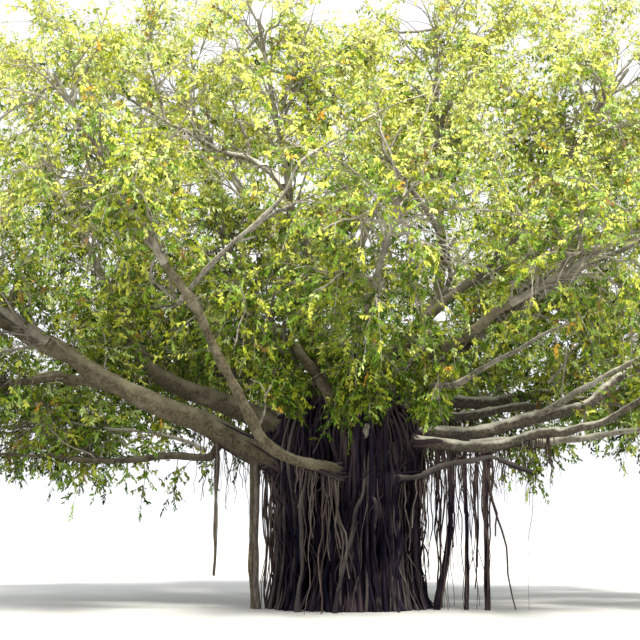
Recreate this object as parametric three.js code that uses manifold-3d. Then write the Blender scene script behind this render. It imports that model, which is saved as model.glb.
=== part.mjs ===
// A spreading banyan: a trunk of fused aerial roots, long boughs, the roots that hang from them, and one mass of
// leaf sprays at the end of each bough. Millimetres, +Z up, and the origin is on the ground under the trunk.
// An azimuth is in degrees: 0 points to +X and 90 to +Y. A station is [azimuth, reach, height].

import * as THREE from "three";
import { mergeVertices } from "three/addons/utils/BufferGeometryUtils.js";
import Module from "manifold-3d";

const wasm = await Module();
wasm.setup();

// Gaps between solids that meet, and between the spaces of two neighbouring masses. Corners nearer than weld merge.
const seatGap = 0.4;
const spaceGap = 45;
const weld = 0.02;

// The trunk's skin is [height, radius] from the ground to the head where the boughs part. It is lobed, because the
// trunk is a bundle of roots that have grown together: each lobe is one root, and wanders as it rises.
const trunk = {
  skin: [
    [0, 1700], [300, 1580], [1000, 1510], [2000, 1490], [2900, 1530], [3700, 1560], [4250, 1480], [4750, 1230],
    [5250, 900], [5800, 600],
  ],
  depthShare: 0.9,
  lobes: 19,
  cornersPerLobe: 4,
  lobeDepth: [90, 190],
  wander: 0.07,
  wanderRise: [900, 1700],
};

// Single roots that have taken hold in front of the bundle, each from a foot to a top station.
const strands = [
  { foot: [-101, 1720, 0], top: [-80, 1420, 2500], girth: [75, 60] },
  { foot: [-62, 1770, 0], top: [-66, 1460, 3300], girth: [90, 70] },
  { foot: [-25, 1800, 0], top: [-20, 1590, 3300], girth: [100, 80] },
  { foot: [-150, 1800, 0], top: [-143, 1480, 3100], girth: [95, 70] },
];
const strandSides = 5;
const strandSteps = 3;
const strandBuried = 0.1;

// A bough starts at a station in the trunk, or on another bough at a share of its length. It runs by its bends
// towards its mass and thins from one girth (radius) to the other. Its mass has a middle and a spread, across and up.
const boughSides = { thin: 5, thick: 7, thickFrom: 170 };
const boughSteps = 6;
const entryShare = 0.8;
const boughs = [
  {
    name: "left_low", root: [188, 650, 2700], bends: [[188, 3200, 3980], [188, 5800, 5200]], girth: [320, 140],
    middle: [194, 8800, 7100], spread: [3300, 2900],
  },
  {
    name: "left_fork", from: "left_low", at: 0.6, bends: [[177, 6600, 5170]], girth: [120, 65],
    middle: [177, 9300, 4800], spread: [2500, 1900],
  },
  {
    name: "left_thin", from: "left_low", at: 0.27, bends: [[175, 3500, 3330], [172, 5700, 3270]], girth: [100, 55],
    middle: [163, 7800, 4300], spread: [2600, 1600],
  },
  {
    name: "left_upper", root: [170, 650, 3350], bends: [[170, 3000, 4720], [168, 4900, 5650]], girth: [300, 110],
    middle: [163, 7400, 9900], spread: [3500, 3100],
  },
  {
    name: "back_left", root: [148, 650, 4150], bends: [[148, 2600, 5200], [145, 4100, 5700]], girth: [220, 100],
    middle: [137, 7600, 6600], spread: [3300, 2900],
  },
  {
    name: "back_low_left", root: [116, 650, 3500], bends: [[116, 2700, 4200], [115, 4400, 4800]], girth: [230, 100],
    middle: [111, 8000, 6000], spread: [3400, 2900],
  },
  {
    name: "back", root: [95, 650, 4150], bends: [[97, 2800, 5300], [97, 4600, 6800]], girth: [230, 105],
    middle: [98, 6600, 9600], spread: [3400, 2900],
  },
  {
    name: "back_low_right", root: [68, 650, 3500], bends: [[66, 2700, 4100], [65, 4400, 4600]], girth: [220, 100],
    middle: [70, 8000, 5900], spread: [3400, 2900],
  },
  {
    name: "back_right", root: [50, 650, 4300], bends: [[41, 3200, 5230], [38, 5400, 6150]], girth: [150, 75],
    middle: [48, 7400, 9000], spread: [3200, 2900],
  },
  {
    name: "right_upper", root: [29, 650, 4350], bends: [[25, 3100, 4660], [25, 5200, 5020]], girth: [180, 95],
    middle: [29, 8600, 6600], spread: [3200, 2700],
  },
  {
    name: "right_inner", root: [13, 650, 4080], bends: [[14, 3200, 4340], [15, 5300, 4750]], girth: [120, 70],
    middle: [13, 8200, 4600], spread: [2400, 1700],
  },
  {
    name: "right_mid", root: [0, 650, 3680], bends: [[0, 3000, 3970], [0, 5400, 4520]], girth: [200, 95],
    middle: [4, 8600, 6600], spread: [2800, 2300],
  },
  {
    name: "right_low", root: [-24, 650, 3720], bends: [[-16, 3300, 3470], [-15, 4600, 3760], [-15, 5700, 4020]],
    girth: [140, 65], middle: [-18, 8500, 5600], spread: [2900, 2300],
  },
  {
    name: "right_rising", root: [22, 750, 4600], bends: [[11, 2050, 5800], [10, 3900, 6870]], girth: [200, 85],
    middle: [8, 6600, 10000], spread: [3200, 2900],
  },
  {
    name: "right_front", root: [-45, 700, 4550], bends: [[-38, 1900, 6100], [-25, 3500, 7450]], girth: [140, 60],
    middle: [-31, 5900, 10100], spread: [3100, 2800],
  },
  {
    name: "front_right", root: [-56, 650, 4150], bends: [[-50, 2700, 5400]], girth: [170, 80],
    middle: [-47, 7200, 7000], spread: [3300, 2700],
  },
  {
    name: "front", root: [-90, 650, 4250], bends: [[-88, 2600, 5300]], girth: [180, 85],
    middle: [-84, 6100, 7000], spread: [3100, 2800],
  },
  {
    name: "front_left", root: [-84, 850, 2850],
    bends: [[-106, 2180, 2900], [-121, 3180, 3480], [-124, 4100, 4450], [-125, 5150, 5600]],
    girth: [135, 85], middle: [-131, 7400, 8800], spread: [3400, 3200],
  },
  {
    name: "top_left", root: [160, 300, 4700], bends: [[165, 1000, 6200], [142, 1800, 8100]], girth: [290, 95],
    middle: [150, 4400, 12000], spread: [3300, 2800],
  },
  {
    name: "top_middle", root: [-25, 500, 4600], bends: [[-20, 1200, 5700], [-3, 2100, 7300]], girth: [215, 80],
    middle: [-20, 2200, 12100], spread: [3200, 2800],
  },
  {
    name: "top_back", root: [90, 400, 4700], bends: [[95, 1250, 6200], [90, 1900, 7900]], girth: [220, 80],
    middle: [68, 4100, 11800], spread: [3200, 2800],
  },
  {
    name: "top_front", root: [-130, 500, 4650], bends: [[-127, 1400, 6200], [-116, 2400, 7600]], girth: [190, 75],
    middle: [-112, 4400, 10600], spread: [3100, 2700],
  },
  {
    name: "inner_left", root: [150, 650, 4400], bends: [[158, 1900, 5700]], girth: [130, 70],
    middle: [160, 4500, 7300], spread: [2600, 2300],
  },
  {
    name: "inner_front", root: [-152, 650, 4400], bends: [[-147, 1350, 5250]], girth: [120, 65],
    middle: [-143, 3000, 7400], spread: [2400, 2200],
  },
  {
    name: "inner_right", root: [-8, 650, 4300], bends: [[-9, 1900, 5250]], girth: [130, 70],
    middle: [-10, 4500, 6900], spread: [2600, 2200],
  },
];

// A dead limb low on the right, with no leaves.
const stub = {
  name: "right_stub", root: [-62, 1050, 2720], bends: [[-40, 1900, 2860], [-27, 2750, 3180], [-24, 3500, 3050]],
  tip: [-22, 4250, 2860], girth: [85, 38],
};

// Roots that hang free from a bough at a share of its length. A foot at 0 has reached the ground.
const hangerSides = 5;
const hangerSteps = 4;
const hangerBuried = 120;
const hangerBow = 0.35;
const hangers = [
  { name: "left_prop", from: "left_low", at: 0.19, foot: 0, lean: [60, -60], girth: [110, 115] },
  { name: "left_hanger_long", from: "left_low", at: 0.3, foot: 700, lean: [-40, 60], girth: [45, 24] },
  { name: "right_prop_near", from: "right_low", at: 0.15, foot: 0, lean: [-370, -60], girth: [66, 74] },
  { name: "right_prop_mid", from: "right_low", at: 0.18, foot: 0, lean: [-40, 30], girth: [42, 45] },
  { name: "right_prop_far", from: "right_low", at: 0.225, foot: 0, lean: [-20, 60], girth: [50, 58] },
  { name: "right_hanger_near", from: "right_low", at: 0.205, foot: 900, lean: [-30, 40], girth: [36, 16] },
  { name: "back_prop", from: "back_low_left", at: 0.26, foot: 0, lean: [-60, 60], girth: [90, 95] },
  { name: "back_prop_right", from: "back_low_right", at: 0.26, foot: 0, lean: [70, 50], girth: [75, 80] },
];

// A mass: its stem runs on from the bough and past the middle, and twigs leave the stem for spots spread evenly
// round the mass. Shares are of the mass's spread, or of the length of what carries the piece.
const foliage = {
  stemSides: 4,
  stemSteps: 3,
  stemTip: 34,
  stemBend: 0.6,
  stemShare: 0.45,
  twigs: 5,
  twigSides: 3,
  twigSteps: 2,
  twigGirth: [36, 22],
  twigFrom: [0.3, 0.95],
  twigShare: 0.6,
  twigTries: [1, 0.8, 0.6],
  twigRise: 0.14,
  twigSwing: 0.7,
  outerShare: 1.04,
};

// A spray stands for many small leaves. It leaves its twig at a share of the twig's length, ahead or to one hand.
const sprays = {
  places: [[0.97, 0], [0.84, 1], [0.66, -1]],
  tries: 7,
  shrink: 0.07,
  length: [1900, 2600],
  widthShare: 0.6,
  thickShare: 0.014,
  bellyShare: 0.4,
  spread: 1.0,
  stray: 1.2,
  droop: 0.3,
  tilt: 2.8,
  room: 40,
};
const goldenTurn = Math.PI * (3 - Math.sqrt(5));

// Numbers from 0 to 1 that are the same on each run, for one lobe, twig or spray.
const kinds = { lobe: 1, twig: 2, spray: 3 };
function drawFor(...keys) {
  let state = 0;
  for (const key of keys) state = Math.imul(state + key + 1, 2654435761) >>> 0;
  return () => {
    state = (state + 0x6d2b79f5) >>> 0;
    let mixed = Math.imul(state ^ (state >>> 15), state | 1);
    mixed ^= mixed + Math.imul(mixed ^ (mixed >>> 7), mixed | 61);
    return ((mixed ^ (mixed >>> 14)) >>> 0) / 4294967296;
  };
}

const between = (range, share) => range[0] + (range[1] - range[0]) * share;

function place([azimuth, reach, height]) {
  const turn = THREE.MathUtils.degToRad(azimuth);
  return new THREE.Vector3(reach * Math.cos(turn), reach * Math.sin(turn), height);
}

const lineThrough = (points) => new THREE.CatmullRomCurve3(points, false, "catmullrom", 0.5);

// A geometry as a manifold-3d solid, with its shared corners merged.
function solidOf(geometry) {
  geometry.deleteAttribute("normal");
  geometry.deleteAttribute("uv");
  const merged = mergeVertices(geometry, weld);
  return new wasm.Manifold(
    new wasm.Mesh({
      numProp: 3,
      vertProperties: new Float32Array(merged.attributes.position.array),
      triVerts: new Uint32Array(merged.index.array),
    }),
  );
}

const join = (solids) => wasm.Manifold.union(solids);
const largestOf = (solid) => solid.decompose().sort((a, b) => b.volume() - a.volume())[0];
const aboveGround = (solid) => solid.trimByPlane([0, 0, 1], 0);

// A limb along a line: a cylinder whose rings are moved to stand square on the line. Swell is added to its girth.
const firstSide = new THREE.Vector3(0.3, 0.25, 0.9);
function limb(line, girth, sides, steps, swell = 0) {
  const geometry = new THREE.CylinderGeometry(1, 1, 1, sides, steps);
  const position = geometry.attributes.position;
  const rings = [];
  const side = firstSide.clone();
  for (let i = 0; i <= steps; i++) {
    const centre = line.getPoint(i / steps);
    const ahead = line.getTangent(i / steps);
    side.addScaledVector(ahead, -side.dot(ahead)).normalize();
    rings.push({ centre, side: side.clone(), other: side.clone().cross(ahead) });
  }
  for (let i = 0; i < position.count; i++) {
    const along = position.getY(i) + 0.5;
    const ring = rings[Math.round(along * steps)];
    const radius = between(girth, along) + swell;
    const corner = ring.centre.clone();
    corner.addScaledVector(ring.side, position.getX(i) * radius);
    corner.addScaledVector(ring.other, position.getZ(i) * radius);
    position.setXYZ(i, corner.x, corner.y, corner.z);
  }
  return solidOf(geometry);
}

// The trunk as one ring of corners per level of its skin. The corners follow the lobes, so that no lobe breaks up.
function trunkCore(swell) {
  const steps = trunk.skin.length - 1;
  const geometry = new THREE.CylinderGeometry(1, 1, 1, trunk.lobes * trunk.cornersPerLobe, steps);
  const position = geometry.attributes.position;
  for (let i = 0; i < position.count; i++) {
    const step = Math.round((position.getY(i) + 0.5) * steps);
    const [level, skinRadius] = trunk.skin[step];
    const height = step < steps ? level : level + swell;
    const turn = Math.atan2(-position.getZ(i), position.getX(i));
    const lobe = Math.round((turn / (2 * Math.PI)) * trunk.lobes);
    const depth = between(trunk.lobeDepth, drawFor(kinds.lobe, (lobe + trunk.lobes) % trunk.lobes)());
    const bulge = depth * (Math.abs(Math.cos((turn * trunk.lobes) / 2)) - 0.5);
    const onAxis = Math.hypot(position.getX(i), position.getZ(i)) < 0.5;
    const radius = onAxis ? 0 : skinRadius + bulge + swell;
    const [quick, slow] = trunk.wanderRise.map((rise) => height / rise);
    const swung = turn + trunk.wander * (Math.sin(quick + 2 * turn) + Math.sin(slow - 3 * turn));
    position.setXYZ(i, radius * Math.cos(swung), radius * Math.sin(swung) * trunk.depthShare, height);
  }
  return solidOf(geometry);
}

function strandLine(strand) {
  const [foot, top] = [place(strand.foot), place(strand.top)];
  const below = foot.clone().lerp(top, -strandBuried);
  return lineThrough([below, foot, foot.clone().lerp(top, 0.5), top]);
}

function trunkSolid(swell) {
  const roots = strands.map((strand) => limb(strandLine(strand), strand.girth, strandSides, strandSteps, swell));
  return largestOf(aboveGround(join([trunkCore(swell), ...roots])));
}

// Where a line from a point to the middle of a mass has entered it.
function entry(bough, point) {
  const centre = place(bough.middle);
  const [across, up] = bough.spread;
  const out = point.clone().sub(centre);
  const share = entryShare / Math.hypot(out.x / across, out.y / across, out.z / up);
  return centre.addScaledVector(out, share);
}

const lines = new Map();
for (const bough of [...boughs, stub]) {
  const start = bough.root ? place(bough.root) : lines.get(bough.from).getPoint(bough.at);
  const bends = bough.bends.map(place);
  const tip = bough.tip ? place(bough.tip) : entry(bough, bends.at(-1));
  lines.set(bough.name, lineThrough([start, ...bends, tip]));
}
const boughNamed = (name) => boughs.find((bough) => bough.name === name);
function boughTube(bough, swell = 0) {
  const sides = bough.girth[0] < boughSides.thickFrom ? boughSides.thin : boughSides.thick;
  return limb(lines.get(bough.name), bough.girth, sides, boughSteps, swell);
}

function boughSolid(bough, trunkGrown) {
  const carrier = bough.root ? trunkGrown : boughTube(boughNamed(bough.from), seatGap);
  return largestOf(boughTube(bough).subtract(carrier));
}

function hangerLine(hanger) {
  const top = lines.get(hanger.from).getPoint(hanger.at);
  const end = hanger.foot > 0 ? hanger.foot : -hangerBuried;
  const foot = new THREE.Vector3(top.x + hanger.lean[0], top.y + hanger.lean[1], end);
  const middle = top.clone().lerp(foot, 0.5);
  middle.x -= hanger.lean[0] * hangerBow;
  return lineThrough([top, middle, foot]);
}

function hangerSolid(hanger) {
  const carrier = boughTube(boughNamed(hanger.from), seatGap);
  const root = limb(hangerLine(hanger), hanger.girth, hangerSides, hangerSteps).subtract(carrier);
  const lowest = root.decompose().sort((a, b) => a.boundingBox().min[2] - b.boundingBox().min[2])[0];
  return aboveGround(lowest);
}

// What foliage keeps clear of: stretches of trunk, boughs and hanging roots, each with a radius.
const trunkRoom = { top: 4600, radius: 1900 };
const barriers = [{ from: place([0, 0, 0]), to: place([0, 0, trunkRoom.top]), radius: trunkRoom.radius }];
function addBarriers(line, girth, steps) {
  for (let i = 0; i < steps; i++) {
    barriers.push({
      from: line.getPoint(i / steps),
      to: line.getPoint((i + 1) / steps),
      radius: between(girth, i / steps),
    });
  }
}
for (const bough of [...boughs, stub]) addBarriers(lines.get(bough.name), bough.girth, boughSteps);
for (const hanger of hangers) addBarriers(hangerLine(hanger), hanger.girth, hangerSteps);

// The shortest distance between two straight stretches.
function stretchDistance(a, b, c, d) {
  const [u, v, w] = [b.clone().sub(a), d.clone().sub(c), a.clone().sub(c)];
  const [uu, vv, uv, uw, vw] = [u.dot(u), v.dot(v), u.dot(v), u.dot(w), v.dot(w)];
  const clamp = THREE.MathUtils.clamp;
  const slant = uu * vv - uv * uv;
  let s = slant > 1e-6 * uu * vv ? clamp((uv * vw - vv * uw) / slant, 0, 1) : 0;
  const t = clamp((uv * s + vw) / vv, 0, 1);
  s = clamp((uv * t - uw) / uu, 0, 1);
  return w.addScaledVector(u, s).addScaledVector(v, -t).length();
}

const clearOfLimbs = (from, to, room) =>
  barriers.every((b) => stretchDistance(from, to, b.from, b.to) > b.radius + room);

// True where a point lies in a mass's rounded space, and nearer to its middle than to any other's.
const middles = boughs.map((bough) => place(bough.middle));
function inSpace(index, point) {
  const [across, up] = boughs[index].spread;
  const out = point.clone().sub(middles[index]);
  if (Math.hypot(out.x / across, out.y / across, out.z / up) > foliage.outerShare) return false;
  return middles.every((other, i) => {
    if (i === index) return true;
    const apart = other.distanceTo(middles[index]);
    const lead = (point.distanceToSquared(other) - point.distanceToSquared(middles[index])) / (2 * apart);
    return lead > spaceGap;
  });
}

function stemLine(index) {
  const line = lines.get(boughs[index].name);
  const ahead = line.getTangent(1);
  const start = line.getPoint(1).addScaledVector(ahead, seatGap);
  const [across, up] = boughs[index].spread;
  const out = middles[index].clone().sub(start);
  const reach = Math.hypot(out.x / across, out.y / across, out.z / up);
  const end = middles[index].clone().addScaledVector(out, foliage.stemShare / reach);
  const bend = start.clone().addScaledVector(ahead, start.distanceTo(middles[index]) * foliage.stemBend);
  return new THREE.QuadraticBezierCurve3(start, bend, end);
}

// Twigs run from the stem to spots spread evenly round the mass. One that would leave the space is shortened.
function twigLine(index, k, stem) {
  const draw = drawFor(kinds.twig, index, k);
  const rise = 1 - (2 * k + 1) / foliage.twigs;
  const turn = k * goldenTurn + draw() * foliage.twigSwing + index;
  const ring = Math.sqrt(1 - rise * rise);
  const [across, up] = boughs[index].spread;
  const spot = new THREE.Vector3(ring * Math.cos(turn) * across, ring * Math.sin(turn) * across, rise * up);
  const start = stem.getPoint(between(foliage.twigFrom, draw()));
  for (const shrink of foliage.twigTries) {
    const end = middles[index].clone().addScaledVector(spot, foliage.twigShare * shrink);
    const arch = start.clone().lerp(end, 0.5);
    arch.z += start.distanceTo(end) * foliage.twigRise;
    const room = foliage.twigGirth[0] + seatGap;
    const fits = inSpace(index, end) && inSpace(index, arch) && inSpace(index, start);
    if (fits && clearOfLimbs(arch, end, room) && clearOfLimbs(start, arch, room)) {
      return new THREE.QuadraticBezierCurve3(start, arch, end);
    }
  }
  return null;
}

// One spray on its twig, or null where each try leaves the space, touches a limb or crosses another piece.
function sprayOn(index, k, number, twig, others) {
  const [along, hand] = sprays.places[number];
  const draw = drawFor(kinds.spray, index, k, number);
  const root = twig.getPoint(along);
  const ahead = twig.getTangent(along);
  const sideways = new THREE.Vector3(-ahead.y, ahead.x, 0).normalize();
  for (let attempt = 0; attempt < sprays.tries; attempt++) {
    const length = between(sprays.length, draw()) * (1 - sprays.shrink * attempt);
    const axis = ahead.clone().addScaledVector(sideways, hand * sprays.spread + (draw() - 0.5) * sprays.stray);
    axis.z += (draw() - 0.5) * sprays.stray - sprays.droop;
    axis.normalize();
    const across = new THREE.Vector3(-axis.y, axis.x, 0).normalize();
    across.applyAxisAngle(axis, (draw() - 0.5) * sprays.tilt);
    const belly = root.clone().addScaledVector(axis, length * sprays.bellyShare);
    const tip = root.clone().addScaledVector(axis, length);
    const edges = [1, -1].map((way) => belly.clone().addScaledVector(across, (way * length * sprays.widthShare) / 2));
    const rims = [[root, tip], edges, ...edges.flatMap((edge) => [[root, edge], [edge, tip]])];
    if (![root, tip, ...edges].every((corner) => inSpace(index, corner))) continue;
    if (!rims.every(([from, to]) => clearOfLimbs(from, to, sprays.room))) continue;
    const spray = spraySolid(root, axis, across, length);
    if (others.every((other) => spray.intersect(other).isEmpty())) return spray;
  }
  return null;
}

// A spray is a flat lozenge of 8 faces that starts on the twig's centre line and is widest at its belly.
function spraySolid(root, axis, across, length) {
  const geometry = new THREE.OctahedronGeometry(1, 0);
  const position = geometry.attributes.position;
  const normal = axis.clone().cross(across);
  for (let i = 0; i < position.count; i++) {
    const share = position.getX(i) === 0 ? sprays.bellyShare : (position.getX(i) + 1) / 2;
    const corner = root.clone().addScaledVector(axis, share * length);
    corner.addScaledVector(across, (position.getY(i) * length * sprays.widthShare) / 2);
    corner.addScaledVector(normal, (position.getZ(i) * length * sprays.thickShare) / 2);
    position.setXYZ(i, corner.x, corner.y, corner.z);
  }
  return solidOf(geometry);
}

// A mass: sprays stand on the stem and on its twigs.
function massSolid(index) {
  const stem = stemLine(index);
  const stemGirth = [boughs[index].girth[1], foliage.stemTip];
  const carriers = [{ line: stem, tube: limb(stem, stemGirth, foliage.stemSides, foliage.stemSteps) }];
  for (let k = 0; k < foliage.twigs; k++) {
    const line = twigLine(index, k, stem);
    if (line) carriers.push({ line, tube: limb(line, foliage.twigGirth, foliage.twigSides, foliage.twigSteps) });
  }
  const pieces = carriers.map((carrier) => carrier.tube);
  carriers.forEach(({ line, tube }, k) => {
    for (let number = 0; number < sprays.places.length; number++) {
      const others = pieces.filter((piece) => piece !== tube);
      const spray = sprayOn(index, k, number, line, others);
      if (spray) pieces.push(spray);
    }
  });
  return largestOf(join(pieces));
}

const bark = (colour) => new THREE.MeshStandardMaterial({ color: colour, roughness: 0.9, metalness: 0 });
const materials = {
  trunk: bark(0x6a5746),
  bough: bark(0x8d8069),
  root: bark(0x7a6550),
  leaves: [0x9bb53c, 0x86a634, 0xaec04a].map((colour) => bark(colour)),
};

// A solid as a named mesh. A geometry takes its corners and faces straight from the solid.
function meshOf(name, solid, material) {
  const { numProp, vertProperties, triVerts } = solid.simplify(weld).getMesh();
  const corners = new Float32Array((vertProperties.length / numProp) * 3);
  for (let i = 0; i < corners.length / 3; i++) {
    corners.set(vertProperties.subarray(i * numProp, i * numProp + 3), i * 3);
  }
  const geometry = new THREE.BufferGeometry();
  geometry.setAttribute("position", new THREE.BufferAttribute(corners, 3));
  geometry.setIndex(new THREE.BufferAttribute(new Uint32Array(triVerts), 1));
  geometry.computeVertexNormals();
  const mesh = new THREE.Mesh(geometry, material);
  mesh.name = name;
  return mesh;
}

const banyan = new THREE.Group();
const trunkGrown = trunkSolid(seatGap);
banyan.add(meshOf("trunk", trunkSolid(0), materials.trunk));
boughs.forEach((bough, index) => {
  banyan.add(meshOf(`bough_${bough.name}`, boughSolid(bough, trunkGrown), materials.bough));
  banyan.add(meshOf(`leaves_${bough.name}`, massSolid(index), materials.leaves[index % materials.leaves.length]));
});
banyan.add(meshOf(`bough_${stub.name}`, boughSolid(stub, trunkGrown), materials.bough));
for (const hanger of hangers) banyan.add(meshOf(`root_${hanger.name}`, hangerSolid(hanger), materials.root));

export default banyan;
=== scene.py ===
import math
import time

import bpy
import bmesh
import numpy as np
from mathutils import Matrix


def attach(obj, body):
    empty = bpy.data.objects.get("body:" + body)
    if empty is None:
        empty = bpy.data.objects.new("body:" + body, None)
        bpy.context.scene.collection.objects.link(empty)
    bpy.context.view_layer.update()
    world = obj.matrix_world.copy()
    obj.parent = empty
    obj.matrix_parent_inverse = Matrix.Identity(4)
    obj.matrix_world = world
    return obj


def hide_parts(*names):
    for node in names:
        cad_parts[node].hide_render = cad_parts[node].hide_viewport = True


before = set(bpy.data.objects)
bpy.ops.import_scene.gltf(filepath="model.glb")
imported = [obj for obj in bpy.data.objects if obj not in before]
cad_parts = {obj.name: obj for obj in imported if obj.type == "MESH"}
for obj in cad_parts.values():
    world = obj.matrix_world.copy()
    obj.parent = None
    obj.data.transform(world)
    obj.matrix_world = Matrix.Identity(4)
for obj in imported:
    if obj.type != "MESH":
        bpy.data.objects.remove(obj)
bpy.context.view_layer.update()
startTime = time.time()


def report(stage):
    print(f"[{time.time() - startTime:6.1f} s] {stage}")


# Camera and light

# The camera stands at eye height and looks up into the crown.
cameraSet = {"place": (-0.63, -27.0, 1.6), "tiltUp": 10.16, "lens": 67.16, "sensor": 36.0, "farthest": 2000}
photoSide = 640
tilt = math.radians(cameraSet["tiltUp"])
focal = cameraSet["lens"] / cameraSet["sensor"] * photoSide
photoMiddle = photoSide / 2


def makeCamera():
    data = bpy.data.cameras.new("camera")
    data.lens = cameraSet["lens"]
    data.sensor_width = cameraSet["sensor"]
    data.clip_end = cameraSet["farthest"]
    camera = bpy.data.objects.new("camera", data)
    camera.location = cameraSet["place"]
    camera.rotation_euler = (math.radians(90 + cameraSet["tiltUp"]), 0, 0)
    bpy.context.scene.collection.objects.link(camera)
    bpy.context.scene.camera = camera


# Where places fall in the photo, in its pixels, and how far they are from the camera.
def inPhoto(points):
    away = points - np.array(cameraSet["place"])
    deep = away[:, 1] * math.cos(tilt) + away[:, 2] * math.sin(tilt)
    up = away[:, 2] * math.cos(tilt) - away[:, 1] * math.sin(tilt)
    return photoMiddle + focal * away[:, 0] / deep, photoMiddle - focal * up / deep, deep


# The place that a pixel of the photo shows, where its line of sight comes to the given y.
def fromPhoto(px, py, y):
    right, up = (px - photoMiddle) / focal, (photoMiddle - py) / focal
    sight = np.array([right, math.cos(tilt) - up * math.sin(tilt), math.sin(tilt) + up * math.cos(tilt)])
    place = np.array(cameraSet["place"])
    return place + sight * (y - place[1]) / sight[1]


skySet = {"colour": (0.95, 0.97, 1.0), "strength": 1.15}
sunSet = {
    "key": {"turn": (38, -12, 36), "strength": 6.2, "angle": 8, "colour": (1.0, 0.96, 0.86)},
    "fill": {"turn": (70, 0, -20), "strength": 0.8, "angle": 60, "colour": (1, 1, 1)},
}


def addSun(name, turn, strength, angle, colour):
    data = bpy.data.lights.new(name, "SUN")
    data.energy = strength
    data.angle = math.radians(angle)
    data.color = colour
    sun = bpy.data.objects.new(name, data)
    sun.rotation_euler = [math.radians(a) for a in turn]
    bpy.context.scene.collection.objects.link(sun)


def addSky():
    world = bpy.data.worlds.new("studio")
    bpy.context.scene.world = world
    world.use_nodes = True
    background = world.node_tree.nodes["Background"]
    background.inputs["Color"].default_value = (*skySet["colour"], 1)
    background.inputs["Strength"].default_value = skySet["strength"]


makeCamera()
for name, values in sunSet.items():
    addSun(name, **values)
addSky()
bpy.context.scene.view_settings.view_transform = "Standard"


# Materials

def newMaterial(name, roughness, shine):
    mat = bpy.data.materials.new(name)
    mat.use_nodes = True
    shader = mat.node_tree.nodes["Principled BSDF"]
    shader.inputs["Roughness"].default_value = roughness
    shader.inputs["Specular IOR Level"].default_value = shine
    return mat, shader


def plainMaterial(name, colour, roughness, shine=0.12):
    mat, shader = newMaterial(name, roughness, shine)
    shader.inputs["Base Color"].default_value = (*colour, 1)
    return mat


# A node with its inputs, each a value or another node's output.
def addNode(tree, kind, inputs, **settings):
    node = tree.nodes.new("ShaderNode" + kind)
    for key, value in settings.items():
        setattr(node, key, value)
    for key, value in inputs.items():
        if isinstance(value, bpy.types.NodeSocket):
            tree.links.new(value, node.inputs[key])
        else:
            node.inputs[key].default_value = value
    return node


# What a bark has unless its own row says otherwise: the fine noise and how it is stretched, the size of
# its patches, its relief, how much the "sun" value counts as painted sunlight, its shine, and how much
# painted light it takes on between two heights.
barkLook = {
    "grain": 6, "stretch": (1, 1, 1), "fineDetail": 8, "fineRoughness": 0.7, "patches": 1.2, "patchDetail": 4,
    "rampAt": (0.40, 0.60), "bump": 0.5, "depth": 0.02, "sun": 0.8, "shine": 0.2, "roughness": 0.85,
    "paleFrom": 0.5, "paleTo": 1.1, "paleHigh": 0.0, "heights": (5, 10),
}


# Where a Mix node that mixes colours has its two colours and its result.
mixFrom, mixTo, mixResult = 6, 7, 2


# Bark is dark and middle colours mixed by the fine noise, and paler where the broad noise, the piece's
# own "sun" value and its height add up: painted sunlight where the skin faces the sky, painted light
# higher up, and patches that are partly pale bark and partly painted dappled sunlight. The fine noise
# gives the bump too.
def barkMaterial(name, dark, middle, pale, **own):
    look = barkLook | own
    mat, shader = newMaterial("bark_" + name, look["roughness"], look["shine"])
    tree = mat.node_tree
    place = addNode(tree, "TexCoord", {}).outputs["Object"]
    stretched = addNode(tree, "Mapping", {"Vector": place, "Scale": look["stretch"]}).outputs["Vector"]
    fine = addNode(tree, "TexNoise", {
        "Vector": stretched, "Scale": look["grain"], "Detail": look["fineDetail"],
        "Roughness": look["fineRoughness"]}).outputs["Fac"]
    broad = addNode(tree, "TexNoise", {
        "Vector": place, "Scale": look["patches"], "Detail": look["patchDetail"]}).outputs["Fac"]
    ramp = addNode(tree, "ValToRGB", {"Fac": fine})
    for element, position, colour in zip(ramp.color_ramp.elements, look["rampAt"], (dark, middle)):
        element.position = position
        element.color = (*colour, 1)
    # Painted sunlight: the skin that faces the sky turns paler.
    sun = addNode(tree, "Attribute", {}, attribute_name="sun").outputs["Fac"]
    facing = addNode(tree, "Math", {0: sun, 1: look["sun"], 2: broad}, operation="MULTIPLY_ADD").outputs[0]
    # Painted light: higher up the bark turns paler.
    height = addNode(tree, "SeparateXYZ", {"Vector": place}).outputs["Z"]
    high = addNode(tree, "MapRange", {
        "Value": height, "From Min": look["heights"][0], "From Max": look["heights"][1],
        "To Max": look["paleHigh"]}).outputs["Result"]
    both = addNode(tree, "Math", {0: facing, 1: high}, operation="ADD").outputs[0]
    share = addNode(tree, "MapRange", {
        "Value": both, "From Min": look["paleFrom"], "From Max": look["paleTo"]}).outputs["Result"]
    mixed = addNode(tree, "Mix", {
        0: share, mixFrom: ramp.outputs["Color"], mixTo: (*pale, 1)}, data_type="RGBA").outputs[mixResult]
    relief = addNode(tree, "Bump", {"Height": fine, "Strength": look["bump"], "Distance": look["depth"]})
    tree.links.new(mixed, shader.inputs["Base Color"])
    tree.links.new(relief.outputs["Normal"], shader.inputs["Normal"])
    return mat


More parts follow.
